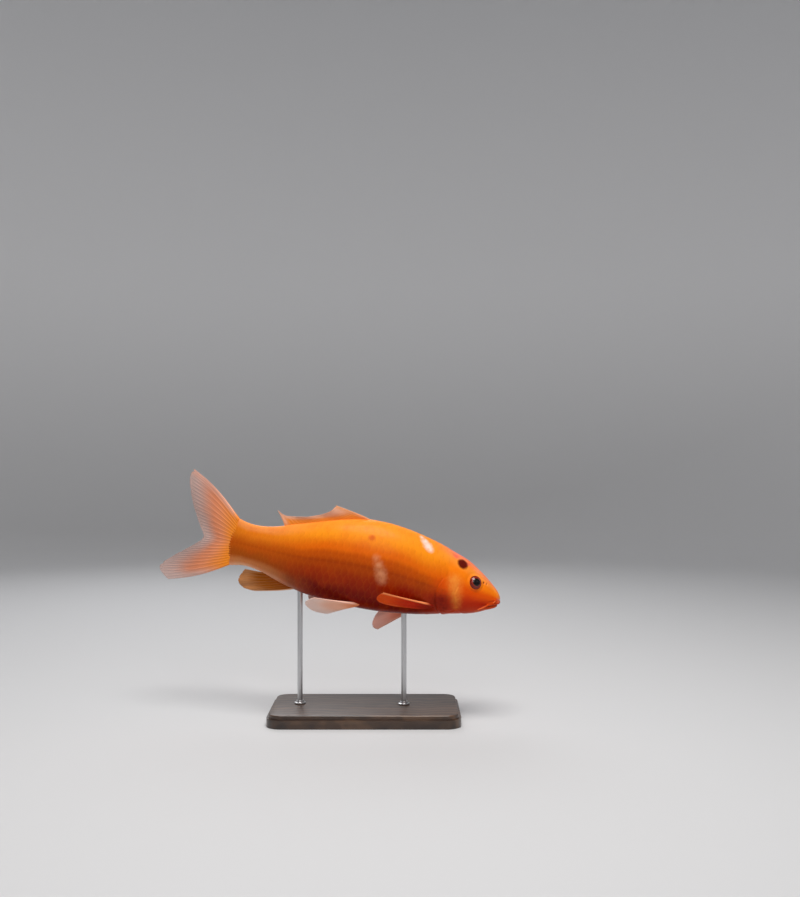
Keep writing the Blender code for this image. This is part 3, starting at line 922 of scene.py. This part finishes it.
def spun(profile, steps):
    """A profile of (radius, height) turned once round the upright axis."""
    made = bmesh.new()
    corners = [made.verts.new((radius, 0, height)) for radius, height in profile]
    edges = [made.edges.new(pair) for pair in zip(corners, corners[1:])]
    bmesh.ops.spin(made, geom=corners + edges, axis=(0, 0, 1), cent=(0, 0, 0), dvec=(0, 0, 0),
                   angle=2 * math.pi, steps=steps, use_merge=True, use_duplicate=False)
    merge(made)
    return made


def eye(side_name, hand):
    made = spun(eye_profile(), EYE_STEPS)
    [middle_layer] = float_layers(made, "middle")
    for corner in made.verts:
        radius = math.hypot(corner.co.x, corner.co.y) / EYE_GIRTH
        corner[middle_layer] = radius if corner.co.z > 0 else 2 - radius
    centre = place_on(EYE_CENTRE, hand)
    outward = place_on(EYE_CENTRE + EYE_OUTWARD * MM, hand) - centre
    turn = outward.to_track_quat("Z", "Y").to_matrix()
    bmesh.ops.rotate(made, cent=(0, 0, 0), matrix=turn, verts=made.verts)
    bmesh.ops.translate(made, vec=centre, verts=made.verts)
    ball = finished(f"eyeball_{side_name}", made)
    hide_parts(f"eye_{side_name}")
    return ball


eyes = [eye(side_name, hand) for side_name, hand in HANDS.items()]

# %% Draw out the barbels
# The root's (along, up) in shares of LENGTH, the length, the radius at root and tip, and the
# direction it leaves in, as (back, aside, down).
BARBELS = {
    "long": ((0.0420, -0.0180), 0.0130, (0.00100, 0.00042), (0.55, 0.66, 0.50)),
    "short": ((0.0190, 0.0020), 0.0065, (0.00075, 0.00040), (0.10, 0.85, 0.50)),
}
BARBEL_CURL = 0.30
BARBEL_STEPS = 22
BARBEL_SIDES = 14


def barbel(kind, side_name, hand):
    root, length, radii, leaving = BARBELS[kind]
    along, up = root[0] * LENGTH, root[1] * LENGTH
    side = cheek(root[0], up)
    back, aside, down = leaving
    points = []
    for k in range(BARBEL_STEPS + 1):
        share = k / BARBEL_STEPS
        out = share * length - SINK / 2
        curl = BARBEL_CURL * share * share * length
        points.append(place(along + back * out + curl, hand * (side + aside * out), up - down * out))
    made = bmesh.new()
    [out_layer] = float_layers(made, "out")
    bmesh.ops.create_grid(made, x_segments=BARBEL_STEPS, y_segments=BARBEL_SIDES, size=0.5)
    for corner in made.verts:
        share = corner.co.x + 0.5
        k = round(share * BARBEL_STEPS)
        ahead = points[min(k + 1, BARBEL_STEPS)] - points[max(k - 1, 0)]
        across = ahead.cross(Vector((0, 1, 0))).normalized()
        turn = Matrix.Rotation(2 * math.pi * (corner.co.y + 0.5), 3, ahead)
        rounding = math.sqrt(max(0.0, 1 - max(0.0, (share - 0.93) / 0.07) ** 2)) * min(1.0, 40 * share)
        radius = (radii[0] + (radii[1] - radii[0]) * share) * rounding
        corner[out_layer] = share
        corner.co = points[k] + turn @ across * radius
    merge(made)
    feeler = finished(f"feeler_{kind}_{side_name}", made)
    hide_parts(f"barbel_{kind}_{side_name}")
    return feeler


feelers = [barbel(kind, side_name, hand) for side_name, hand in HANDS.items() for kind in BARBELS]

# %% [markdown]
# ## The stand
# The stand is plain on purpose: a dark wooden base with a softened, stepped edge, two steel rods,
# and a turned collar where each rod enters the wood. Sizes and places are read from the packed
# model, so nothing of it moves.

# %% The wooden base
base_low, base_high = (Vector(corner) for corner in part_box("stand_base"))
CORNER = 0.014
PLINTH = 0.68  # share of the base's height under the step
STEP_IN = 0.0022
RIM_BEVEL = 0.0011
FOOT_BEVEL = 0.0005


def soften(made, edges, offset, segments):
    bmesh.ops.bevel(made, geom=edges, offset=offset, offset_type="OFFSET", segments=segments,
                    profile=0.5, affect="EDGES", clamp_overlap=True, material=-1)


def level_edges(made, height):
    return [e for e in made.edges if all(abs(c.co.z - height) < MERGE for c in e.verts)]


def wooden_base():
    size = base_high - base_low
    plinth = size.z * PLINTH
    made = bmesh.new()
    bmesh.ops.create_cube(made, size=1)
    bmesh.ops.scale(made, vec=(size.x, size.y, plinth), verts=made.verts)
    bmesh.ops.translate(made, vec=(0, 0, plinth / 2), verts=made.verts)
    uprights = [e for e in made.edges if abs(e.verts[0].co.z - e.verts[1].co.z) > plinth / 2]
    soften(made, uprights, CORNER, segments=14)
    top = [f for f in made.faces if f.normal.z > 0.9]
    bmesh.ops.inset_region(made, faces=top, thickness=STEP_IN, use_even_offset=True)
    raised = bmesh.ops.extrude_face_region(made, geom=top)["geom"]
    lifted = [item for item in raised if isinstance(item, bmesh.types.BMVert)]
    bmesh.ops.delete(made, geom=top, context="FACES_ONLY")
    bmesh.ops.translate(made, vec=(0, 0, size.z - plinth), verts=lifted)
    soften(made, level_edges(made, size.z), RIM_BEVEL, segments=4)
    soften(made, level_edges(made, 0.0), FOOT_BEVEL, segments=2)
    bmesh.ops.translate(made, vec=(0, 0, base_low.z), verts=made.verts)
    base = finished("stand_base_wood", made, sharp=True)
    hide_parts("stand_base")
    return base


base = wooden_base()


# %% The rods and their collars
def turned(name, profile, centre, node, steps=64):
    """A piece turned round an upright axis; profile is (radius, height) from the foot to the top."""
    made = spun(profile, steps)
    bmesh.ops.translate(made, vec=(centre.x, centre.y, 0), verts=made.verts)
    item = finished(name, made, sharp=True)
    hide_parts(node)
    return item


ROD_RADIUS = 0.0025
ROD_CHAMFER = 0.0004
BORE_PLAY = 0.0001
FOOT_CHAMFER = 0.0002
# The collar's side from its rim to its top: how far in from the rim, and the share of the height.
COLLAR_SIDE = (
    (0.0, 0.32), (0.0004, 0.42), (0.0014, 0.50), (0.0018, 0.62), (0.0018, 0.92), (0.0021, 1.0),
)
steel = []
for where in ("front", "rear"):
    rod_low, rod_high = (Vector(corner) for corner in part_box(f"stand_rod_{where}"))
    foot_low, foot_high = (Vector(corner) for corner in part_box(f"stand_foot_{where}"))
    centre = (rod_low + rod_high) / 2
    rod = [(0, rod_low.z), (ROD_RADIUS, rod_low.z), (ROD_RADIUS, rod_high.z - ROD_CHAMFER),
           (ROD_RADIUS - ROD_CHAMFER, rod_high.z), (0, rod_high.z)]
    outer = (foot_high.x - foot_low.x) / 2
    foot, tall = foot_low.z, foot_high.z - foot_low.z
    bore = ROD_RADIUS + BORE_PLAY
    collar = [(bore, foot), (outer - FOOT_CHAMFER, foot), (outer, foot + FOOT_CHAMFER)]
    collar += [(outer - inset, foot + share * tall) for inset, share in COLLAR_SIDE]
    collar += [(bore, foot + tall), (bore, foot)]
    steel.append(turned(f"stand_rod_steel_{where}", rod, centre, f"stand_rod_{where}"))
    steel.append(turned(f"stand_collar_{where}", collar, centre, f"stand_foot_{where}"))

# %% [markdown]
# ## Paint
# A finish is a small sum: masks are numbers that are added and multiplied, and colours are mixed by
# them. The class below wraps a socket so that such sums can be written as ordinary Python, and
# Paint adds any other node, with its settings first and then its sockets.

# %% Sockets that can be summed
class Signal:
    """One output socket of a node, for use in ordinary sums."""

    def __init__(self, paint, socket):
        self.paint = paint
        self.socket = socket

    def __add__(self, other):
        return self.paint.maths("ADD", self, other)

    def __mul__(self, other):
        return self.paint.maths("MULTIPLY", self, other)

    def __sub__(self, other):
        return self.paint.maths("SUBTRACT", self, other)

    def __rsub__(self, other):
        return self.paint.maths("SUBTRACT", other, self)

    __radd__, __rmul__ = __add__, __mul__  # either order gives the same


class Paint:
    """A material built round one Principled shader, with its constants set by their names."""

    def __init__(self, name, constants):
        self.material = bpy.data.materials.new(name)
        self.material.use_nodes = True
        self.tree = self.material.node_tree
        self.shader = self.tree.nodes["Principled BSDF"]
        for key, value in constants.items():
            self.shader.inputs[key].default_value = value

    def feed(self, socket, value):
        if isinstance(value, Signal):
            self.tree.links.new(value.socket, socket)
        else:
            socket.default_value = value

    def node(self, kind, settings=None, sockets=None, output=0):
        made = self.tree.nodes.new(kind)
        for key, value in (settings or {}).items():
            if key == "stops":
                self.set_stops(made.color_ramp, value)
            else:
                setattr(made, key, value)
        for key, value in (sockets or {}).items():
            self.feed(made.inputs[key], value)
        return Signal(self, made.outputs[output])

    def set_stops(self, ramp, stops):
        ramp.interpolation = "EASE"
        while len(ramp.elements) < len(stops):
            ramp.elements.new(1.0)
        for element, (at, *colour) in zip(ramp.elements, stops):
            element.position = at
            element.color = (*colour, 1)

    def maths(self, operation, *values):
        return self.node("ShaderNodeMath", {"operation": operation}, dict(enumerate(values)))

    def attribute(self, name):
        return self.node("ShaderNodeAttribute", {"attribute_name": name}, output="Fac")

    def spot(self):
        return self.node("ShaderNodeTexCoord", output="Object")

    def noise(self, scale, detail=2.0, stretch=(1, 1, 1), roughness=0.5):
        """Soft noise from 0 to 1 in the piece's own place; a larger scale is finer."""
        where = self.node("ShaderNodeMapping", {}, {"Vector": self.spot(), "Scale": stretch})
        sockets = {"Vector": where, "Scale": scale, "Detail": detail, "Roughness": roughness}
        return self.node("ShaderNodeTexNoise", {}, sockets)

    def rise(self, value, low, high):
        """0 below low, 1 over high, smooth between; low may be the greater for a fall."""
        sockets = {"Value": value, "From Min": low, "From Max": high}
        return self.node("ShaderNodeMapRange", {"interpolation_type": "SMOOTHSTEP"}, sockets)

    def mix(self, share, first, second, way="MIX"):
        first, second = ((*c, 1) if isinstance(c, tuple) else c for c in (first, second))
        settings = {"data_type": "RGBA", "blend_type": way}
        return self.node("ShaderNodeMix", settings, {0: share, 6: first, 7: second}, output=2)

    def ramp(self, value, *stops):
        """Colours on a scale of the value; a stop is its place and its red, green and blue."""
        return self.node("ShaderNodeValToRGB", {"stops": stops}, {"Fac": value})

    def bump(self, height, distance, strength=1.0):
        sockets = {"Height": height, "Distance": distance, "Strength": strength}
        return self.node("ShaderNodeBump", {}, sockets)

    def finish(self, **links):
        """Feeds the shader's sockets: base_color is its socket Base Color, and so on."""
        for key, value in links.items():
            self.feed(self.shader.inputs[key.replace("_", " ").title()], value)
        return self.material


def wear(material, *items):
    for item in items:
        item.data.materials.clear()
        item.data.materials.append(material)


# %% [markdown]
# ## The koi's colours
# This koi is one bright orange, deeper and redder down its sides, partly in its own colour and partly
# as painted shade from a light overhead, with a rosy forehead, a dark round mark on top of the head, a
# white fleck on the nape, a pale blush on the right flank and a small red spot behind it. The colour
# follows the two numbers that skin and scales carry, and the marks are measured from fixed places on
# the body, so both wear the same paint. Softer marks give a painted highlight on the cheek's ridge,
# painted shade behind the gill cover, above the pectoral fin and over the hips, a painted highlight
# along the lower jaw's rim, and the glow of the lips.

# %% Places of the marks
def mark_at(share, up, hand=-1):
    """A place on the body's side, for share and up in shares of LENGTH."""
    return place_on(cheek_point(share, up), hand)


# Each mark: its places as (share, up, radius in metres), how soft its edge is, how far the places
# run together, its colour and its strength.
MARKS = {
    "head_mark": (
        [(0.162, 0.107, 0.0052), (0.171, 0.110, 0.0030)],
        0.0014, 0.002, (0.100, 0.001, 0.001), 0.98,
    ),
    "nape_fleck": (
        [(0.326, 0.168, 0.0014), (0.312, 0.156, 0.0030), (0.299, 0.143, 0.0036), (0.287, 0.132, 0.0022)],
        0.0026, 0.004, (0.96, 0.72, 0.63), 0.90,
    ),
    "flank_blush": (
        [(0.470, 0.066, 0.0014), (0.456, 0.042, 0.0028), (0.442, 0.014, 0.0042), (0.434, -0.008, 0.0026)],
        0.0044, 0.006, (0.86, 0.40, 0.20), 0.60,
    ),
    "flank_spot": ([(0.500, 0.130, 0.0030)], 0.0018, 0.001, (0.66, 0.070, 0.003), 0.70),
    # A painted highlight on the ridge of the cheek plate, behind the eye.
    "painted_cheek_highlight": (
        [
            (0.182, 0.048, 0.0030), (0.177, 0.026, 0.0022), (0.170, 0.003, 0.0014),
            (0.162, -0.021, 0.0007), (0.155, -0.046, 0.0000),
        ],
        0.0060, 0.014, (0.98, 0.36, 0.05), 0.80,
    ),
    "brow_blush": (
        [(0.060, 0.070, 0.0020), (0.100, 0.090, 0.0020)],
        0.0080, 0.020, (0.95, 0.34, 0.17), 0.45,
    ),
    "gill_shade": (
        [(0.212, -0.030, 0.0034), (0.196, -0.058, 0.0026), (0.234, -0.040, 0.0014)],
        0.0090, 0.014, (0.09, 0.002, 0.001), 0.84,
    ),
    "crown_blush": (
        [(0.191, 0.128, 0.0020), (0.140, 0.108, 0.0008)],
        0.0030, 0.006, (0.84, 0.090, 0.095), 0.75,
    ),
    # A painted highlight along the lower rim of the jaw, as of light from below.
    "painted_jaw_highlight": (
        [(0.048, -0.042, 0.0010), (0.078, -0.052, 0.0006)],
        0.0036, 0.006, (0.88, 0.340, 0.080), 0.60,
    ),
    "lip_glow": (
        [(0.022, -0.020, 0.0030), (0.040, -0.022, 0.0020)],
        0.0060, 0.006, (0.88, 0.120, 0.008), 0.60,
    ),
    "snout_tip": ([(0.006, 0.006, 0.0010)], 0.0050, 0.004, (0.90, 0.330, 0.250), 0.55),
    "cheek_red": (
        [(0.120, -0.012, 0.0040), (0.080, -0.030, 0.0020)],
        0.0090, 0.012, (0.66, 0.028, 0.001), 0.60,
    ),
    # Painted shade on the flank just above the right pectoral fin.
    "painted_fin_pit_shade": (
        [(0.352, -0.030, 0.0030), (0.330, -0.036, 0.0024)],
        0.0070, 0.006, (0.34, 0.003, 0.001), 0.70,
    ),
    # Painted shade on the lower flank over the pelvic fins.
    "painted_hip_shade": (
        [(0.470, -0.060, 0.0060), (0.530, -0.066, 0.0040)],
        0.0140, 0.012, (0.26, 0.003, 0.001), 0.55,
    ),
}


# %% The colours from back to belly, and the marks over them
# Each stop: its place from 0 on the back to 1 on the belly, then red, green and blue. All three
# ramps run darker and redder down the sides, partly the fish's own colour and partly painted shade
# from a light overhead. Their palest tones along the back are partly a painted highlight, and the
# stalk's ramp grows pale again at its lower edge as a painted highlight.
TRUNK_TONES = (
    (0.00, 0.96, 0.290, 0.030), (0.26, 0.97, 0.280, 0.006), (0.39, 0.80, 0.132, 0.001),
    (0.45, 0.56, 0.078, 0.001), (0.52, 0.42, 0.050, 0.001), (0.60, 0.34, 0.024, 0.001),
    (0.74, 0.17, 0.004, 0.001), (1.00, 0.20, 0.008, 0.002),
)
FACE_TONES = (
    (0.00, 0.88, 0.190, 0.130), (0.10, 0.92, 0.240, 0.090), (0.20, 0.97, 0.290, 0.030),
    (0.30, 0.97, 0.220, 0.004), (0.44, 0.82, 0.090, 0.001), (0.60, 0.50, 0.022, 0.001),
    (1.00, 0.46, 0.050, 0.008),
)
STALK_TONES = (
    (0.00, 0.94, 0.300, 0.070), (0.20, 0.90, 0.270, 0.060), (0.30, 0.84, 0.200, 0.008),
    (0.50, 0.56, 0.090, 0.002), (0.64, 0.42, 0.072, 0.003), (0.76, 0.62, 0.200, 0.060),
    (0.90, 0.86, 0.400, 0.220), (1.00, 0.80, 0.340, 0.160),
)


def koi_colour(paint):
    along, around = paint.attribute("along"), paint.attribute("round")
    cloud = paint.noise(38.0, 3.0) - 0.5
    level = around + cloud * 0.08
    trunk, face, stalk = (paint.ramp(level, *tones) for tones in (TRUNK_TONES, FACE_TONES, STALK_TONES))
    colour = paint.mix(paint.rise(along + cloud * 0.05, 0.30, 0.18), trunk, face)
    colour = paint.mix(paint.rise(along + cloud * 0.05, 0.66, 0.90), colour, stalk)
    blotch = paint.rise(paint.noise(95.0, 4.0), 0.42, 0.70)
    colour = paint.mix(blotch * 0.16, colour, (0.66, 0.070, 0.002))
    edge = paint.noise(420.0, 2.0) - 0.5
    for places, soft, blend, tint, strength in MARKS.values():
        past = None  # how far a spot is outside the mark
        for share, up, radius in places:
            sockets = {0: paint.spot(), 1: mark_at(share, up)}
            far = paint.node("ShaderNodeVectorMath", {"operation": "DISTANCE"}, sockets, output=1)
            place_past = far - radius
            past = place_past if past is None else paint.maths("SMOOTH_MIN", past, place_past, blend)
        mask = paint.rise(past + edge * soft, soft, -soft)
        colour = paint.mix(mask * strength, colour, tint)
    return colour


# %% Skin
FLESH = {
    "Specular IOR Level": 0.08,
    "Coat Weight": 0.03,
    "Coat Roughness": 0.15,
    "Subsurface Weight": 0.08,
    "Subsurface Scale": 0.003,
    "Subsurface Radius": (1.0, 0.30, 0.08),
}


def skin_paint():
    """Skin is bare on the head: smooth, with fine pores, and with painted shade inside nostrils and slits."""
    paint = Paint("koi_skin_paint", FLESH)
    pores = paint.noise(2600.0, 2.0)
    grain = paint.noise(620.0, 3.0)
    height = pores * 0.35 + grain * 0.65
    # Painted shade darkens the colour where the skin sinks into a slit or a nostril.
    return paint.finish(
        base_color=paint.mix(paint.attribute("deep") * 0.85, koi_colour(paint), (0.14, 0.006, 0.001)),
        roughness=0.38 + (grain - 0.5) * 0.16,
        normal=paint.bump(height, 0.00020, 0.5),
    )


# %% Scales
def scale_paint():
    """The skin's colours, a paler free edge on each scale and the lateral line's row of tubes."""
    paint = Paint("koi_scale_paint", FLESH)
    edge, around = paint.attribute("edge"), paint.attribute("round")
    rim = paint.rise(edge, 0.80, 1.0)
    shadow = paint.rise(edge, 0.62, 0.45)
    colour = paint.mix(rim, koi_colour(paint), (0.030, 0.012, 0.001), "ADD")
    colour = paint.mix(shadow * 0.25, colour, (0.80, 0.70, 0.60), "MULTIPLY")
    off_line = paint.maths("ABSOLUTE", around - 0.5)
    tube = paint.rise(off_line, 0.012, 0.005) * paint.rise(edge, 0.50, 0.62) * paint.rise(edge, 0.98, 0.90)
    colour = paint.mix(tube * 0.2, colour, (0.70, 0.60, 0.50), "MULTIPLY")
    grain = paint.noise(900.0, 3.0)
    roughness = 0.38 + (grain - 0.5) * 0.14 + rim * 0.06
    normal = paint.bump(grain * 0.4 + tube * 0.5, 0.00018, 0.5)
    return paint.finish(base_color=colour, roughness=roughness, normal=normal)


wear(skin_paint(), skin)
wear(scale_paint(), *coats)


# %% Fins
def fin_paint(name, root, middle, tip, tip_alpha, first_ray):
    """Three colours from the body outwards, with the rays denser than the web between them."""
    paint = Paint(name, {"Specular IOR Level": 0.08})
    out, ray, across = (paint.attribute(key) for key in ("out", "ray", "across"))
    cloud = paint.noise(60.0, 3.0) - 0.5
    far = out + cloud * 0.16
    web = paint.ramp(far, (0.0, *root), (0.45, *middle), (0.92, *tip))
    colour = paint.mix(ray * 0.12, web, first_ray)
    # The first ray's colour runs along the leading edge; on the right pectoral fin it is a painted highlight.
    first_edge = paint.rise(across, 0.09, 0.03) * paint.rise(far, 0.02, 0.20)
    last_edge = paint.rise(across, 0.91, 0.98) * paint.rise(far, 0.10, 0.50)
    colour = paint.mix(first_edge * 0.8, colour, first_ray)
    colour = paint.mix(last_edge * 0.8, colour, tip)
    joints = paint.maths("SINE", out * 260.0) * ray
    faded = tip_alpha + (1.0 - tip_alpha) * paint.rise(far, 1.0, 0.30)
    alpha = paint.maths("MAXIMUM", faded, ray * 0.90)
    normal = paint.bump(joints * 0.5 + paint.noise(700.0) * 0.4, 0.00018, 0.5)
    return paint.finish(base_color=colour, roughness=0.40 + ray * 0.05, alpha=alpha, normal=normal)


# For each fin: the colours at root, middle and margin, how solid the margin is, and the first ray.
FIN_COLOURS = {
    "fin_tail": (
        (0.94, 0.270, 0.012), (0.78, 0.270, 0.130), (0.60, 0.400, 0.350), 0.42, (0.86, 0.44, 0.32),
    ),
    "fin_dorsal": (
        (0.94, 0.240, 0.010), (0.88, 0.260, 0.030), (0.90, 0.460, 0.300), 0.90, (0.94, 0.42, 0.20),
    ),
    "fin_anal": (
        (0.34, 0.060, 0.001), (0.32, 0.076, 0.001), (0.54, 0.210, 0.060), 0.84, (0.92, 0.52, 0.30),
    ),
    # The right pectoral fin's dark root and middle are painted shade under its leading edge, and its bright
    # first ray is a painted highlight on that edge.
    "fin_pectoral_right": (
        (0.34, 0.004, 0.001), (0.62, 0.016, 0.001), (0.86, 0.080, 0.004), 0.92, (1.00, 0.34, 0.12),
    ),
    "fin_pectoral_left": (
        (0.74, 0.080, 0.020), (0.94, 0.280, 0.160), (0.95, 0.520, 0.420), 0.85, (0.98, 0.50, 0.36),
    ),
    "fin_pelvic": (
        (0.90, 0.280, 0.100), (0.98, 0.520, 0.360), (0.98, 0.720, 0.630), 0.88, (0.97, 0.56, 0.44),
    ),
}
for key, colours in FIN_COLOURS.items():
    wear(fin_paint(f"koi_{key}_paint", *colours), *[fin for fin in fins if fin.name.startswith(key)])


# %% Barbels and eyes
def barbel_paint():
    paint = Paint("koi_barbel_paint", FLESH)
    out = paint.attribute("out")
    colour = paint.ramp(out, (0.0, 0.60, 0.050, 0.002), (1.0, 0.76, 0.140, 0.030))
    wrinkles = paint.bump(paint.noise(1400.0, 3.0), 0.0001, 0.6)
    return paint.finish(base_color=colour, roughness=0.36, normal=wrinkles)


def eye_paint():
    """A black pupil, a thin brighter line round it and a dark red iris with fine threads."""
    paint = Paint("koi_eye_paint", {"Specular IOR Level": 0.2, "Coat Weight": 0.35, "Coat Roughness": 0.03})
    middle = paint.attribute("middle")
    threads = paint.noise(900.0, 4.0, roughness=0.7)
    iris = paint.ramp(
        threads,
        (0.30, 0.130, 0.004, 0.002), (0.55, 0.230, 0.008, 0.002), (0.80, 0.340, 0.030, 0.006),
    )
    iris = paint.mix(paint.rise(middle, 0.80, 0.96), iris, (0.070, 0.003, 0.002))
    inner = paint.rise(middle, PUPIL - 0.005, PUPIL + 0.02) * paint.rise(middle, PUPIL + 0.09, PUPIL + 0.04)
    iris = paint.mix(inner * 0.45, iris, (0.50, 0.090, 0.020))
    pupil = paint.rise(middle, PUPIL + 0.01, PUPIL - 0.01)
    colour = paint.mix(pupil, iris, (0.004, 0.002, 0.002))
    return paint.finish(base_color=colour, roughness=0.08 + middle * 0.10)


wear(barbel_paint(), *feelers)
wear(eye_paint(), *eyes)


# %% Wood and steel
def wood_paint():
    """Dark walnut: long grain along the base, finer pores in it, and a worn satin varnish."""
    paint = Paint("stand_walnut", {"Coat Weight": 0.35, "Coat Roughness": 0.22})
    waves = paint.noise(9.0, 3.0, (1.0, 7.0, 7.0))
    lines = paint.node(
        "ShaderNodeTexWave",
        {"wave_type": "BANDS", "bands_direction": "Y"},
        {"Vector": paint.spot(), "Scale": 34.0, "Distortion": 9.0, "Detail": 3.0, "Detail Scale": 0.8},
        output="Fac",
    )
    pores = paint.noise(240.0, 3.0, (0.05, 1.0, 1.0))
    tone = waves * 0.5 + lines * 0.3 + pores * 0.2
    colour = paint.ramp(
        tone,
        (0.25, 0.020, 0.009, 0.005), (0.50, 0.055, 0.026, 0.013), (0.75, 0.110, 0.056, 0.028),
    )
    normal = paint.bump(pores, 0.00015, 0.35)
    return paint.finish(base_color=colour, roughness=0.34 + pores * 0.14, normal=normal)


def steel_paint():
    """Satin steel, brushed along the rod."""
    paint = Paint("stand_satin_steel", {"Metallic": 1.0})
    brush = paint.noise(900.0, 3.0, (1.0, 1.0, 0.03))
    colour = paint.mix(brush, (0.46, 0.46, 0.47), (0.66, 0.66, 0.67))
    normal = paint.bump(brush, 0.00004, 0.4)
    return paint.finish(base_color=colour, roughness=0.24 + brush * 0.14, normal=normal)


wear(wood_paint(), base)
wear(steel_paint(), *steel)
print("materials:", len(bpy.data.materials))

# %% [markdown]
# ## The studio
# A pale floor that runs out of sight, one broad soft light overhead, as over a tank, weaker ones
# in front and behind, and a long lens a metre away at the fish's right side, level with the
# horizon.

# %% Floor and lights
FLOOR_RADIUS = 1.5
SWEEP_RADIUS = 0.7
SWEEP_STEPS = 12
WALL_HEIGHT = 2.4
FLOOR_STEPS = 96


def sweep():
    """A round floor whose rim curves up into a wall, so that no horizon shows from any side."""
    profile = [(0.0, 0.0), (FLOOR_RADIUS, 0.0)]
    for k in range(1, SWEEP_STEPS + 1):
        angle = math.pi / 2 * k / SWEEP_STEPS
        profile.append((FLOOR_RADIUS + SWEEP_RADIUS * math.sin(angle), SWEEP_RADIUS * (1 - math.cos(angle))))
    profile.append((FLOOR_RADIUS + SWEEP_RADIUS, WALL_HEIGHT))
    item = from_bmesh("floor", spun(profile, FLOOR_STEPS))
    paint = Paint("floor_paint", {"Roughness": 0.85, "Specular IOR Level": 0.2})
    height = paint.node("ShaderNodeSeparateXYZ", {}, {"Vector": paint.spot()}, output="Z")
    colour = paint.mix(paint.rise(height, 0.0, 0.8), (0.60, 0.60, 0.61), (0.88, 0.88, 0.89))
    wear(paint.finish(base_color=colour), item)
    item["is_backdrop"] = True


def soft_light(name, spot, aim, size, power, colour=(1, 1, 1)):
    lamp = bpy.data.lights.new(name, "AREA")
    lamp.shape = "DISK"
    lamp.size = size
    lamp.energy = power
    lamp.color = colour
    item = in_scene(name, lamp)
    item.location = spot
    item.rotation_euler = (Vector(aim) - Vector(spot)).to_track_quat("-Z", "Y").to_euler()


sweep()
middle = (cad_low + cad_high) / 2
soft_light("overhead", (0.08, -0.35, 1.25), middle, 0.7, 13.5, (1.0, 0.98, 0.95))
soft_light("front", (0.05, -1.25, 1.05), middle, 0.7, 3.4)
soft_light("behind", (-0.30, 0.95, 0.95), middle, 0.9, 5.0, (0.97, 0.98, 1.0))

world = bpy.data.worlds.new("studio")
world.use_nodes = True
sky = world.node_tree.nodes["Background"]
sky.inputs["Color"].default_value = (0.78, 0.80, 0.83, 1)
sky.inputs["Strength"].default_value = 0.22
bpy.context.scene.world = world
bpy.context.scene.view_settings.view_transform = "Standard"

# %% Camera
LENS = 44.15  # millimetres on a 36 mm sensor
CAMERA_BACK = 1.0507  # metres from the fish's middle plane
CAMERA_OVER = 0.1457  # over the snout
CAMERA_BEHIND = 0.0955  # behind the snout
camera_data = bpy.data.cameras.new("camera")
camera_data.lens = LENS
camera_data.sensor_width = 36
camera_data.clip_start = 0.01
camera = in_scene("camera", camera_data)
camera.location = (snout.x - CAMERA_BEHIND, -CAMERA_BACK, snout.z + CAMERA_OVER)
camera.rotation_euler = (math.radians(90), 0, 0)
bpy.context.scene.camera = camera
print("camera height:", round(camera.location.z, 3))

# %% [markdown]
# ## Measure
# The finished model must keep the imported model's size, so the growth of its box at each corner is printed.

# %% Sizes
new_low, new_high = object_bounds()
for corner, grown in (("low", cad_low - new_low), ("high", new_high - cad_high)):
    print("the box grew at its", corner, "corner by", in_mm(grown, 2), "mm")
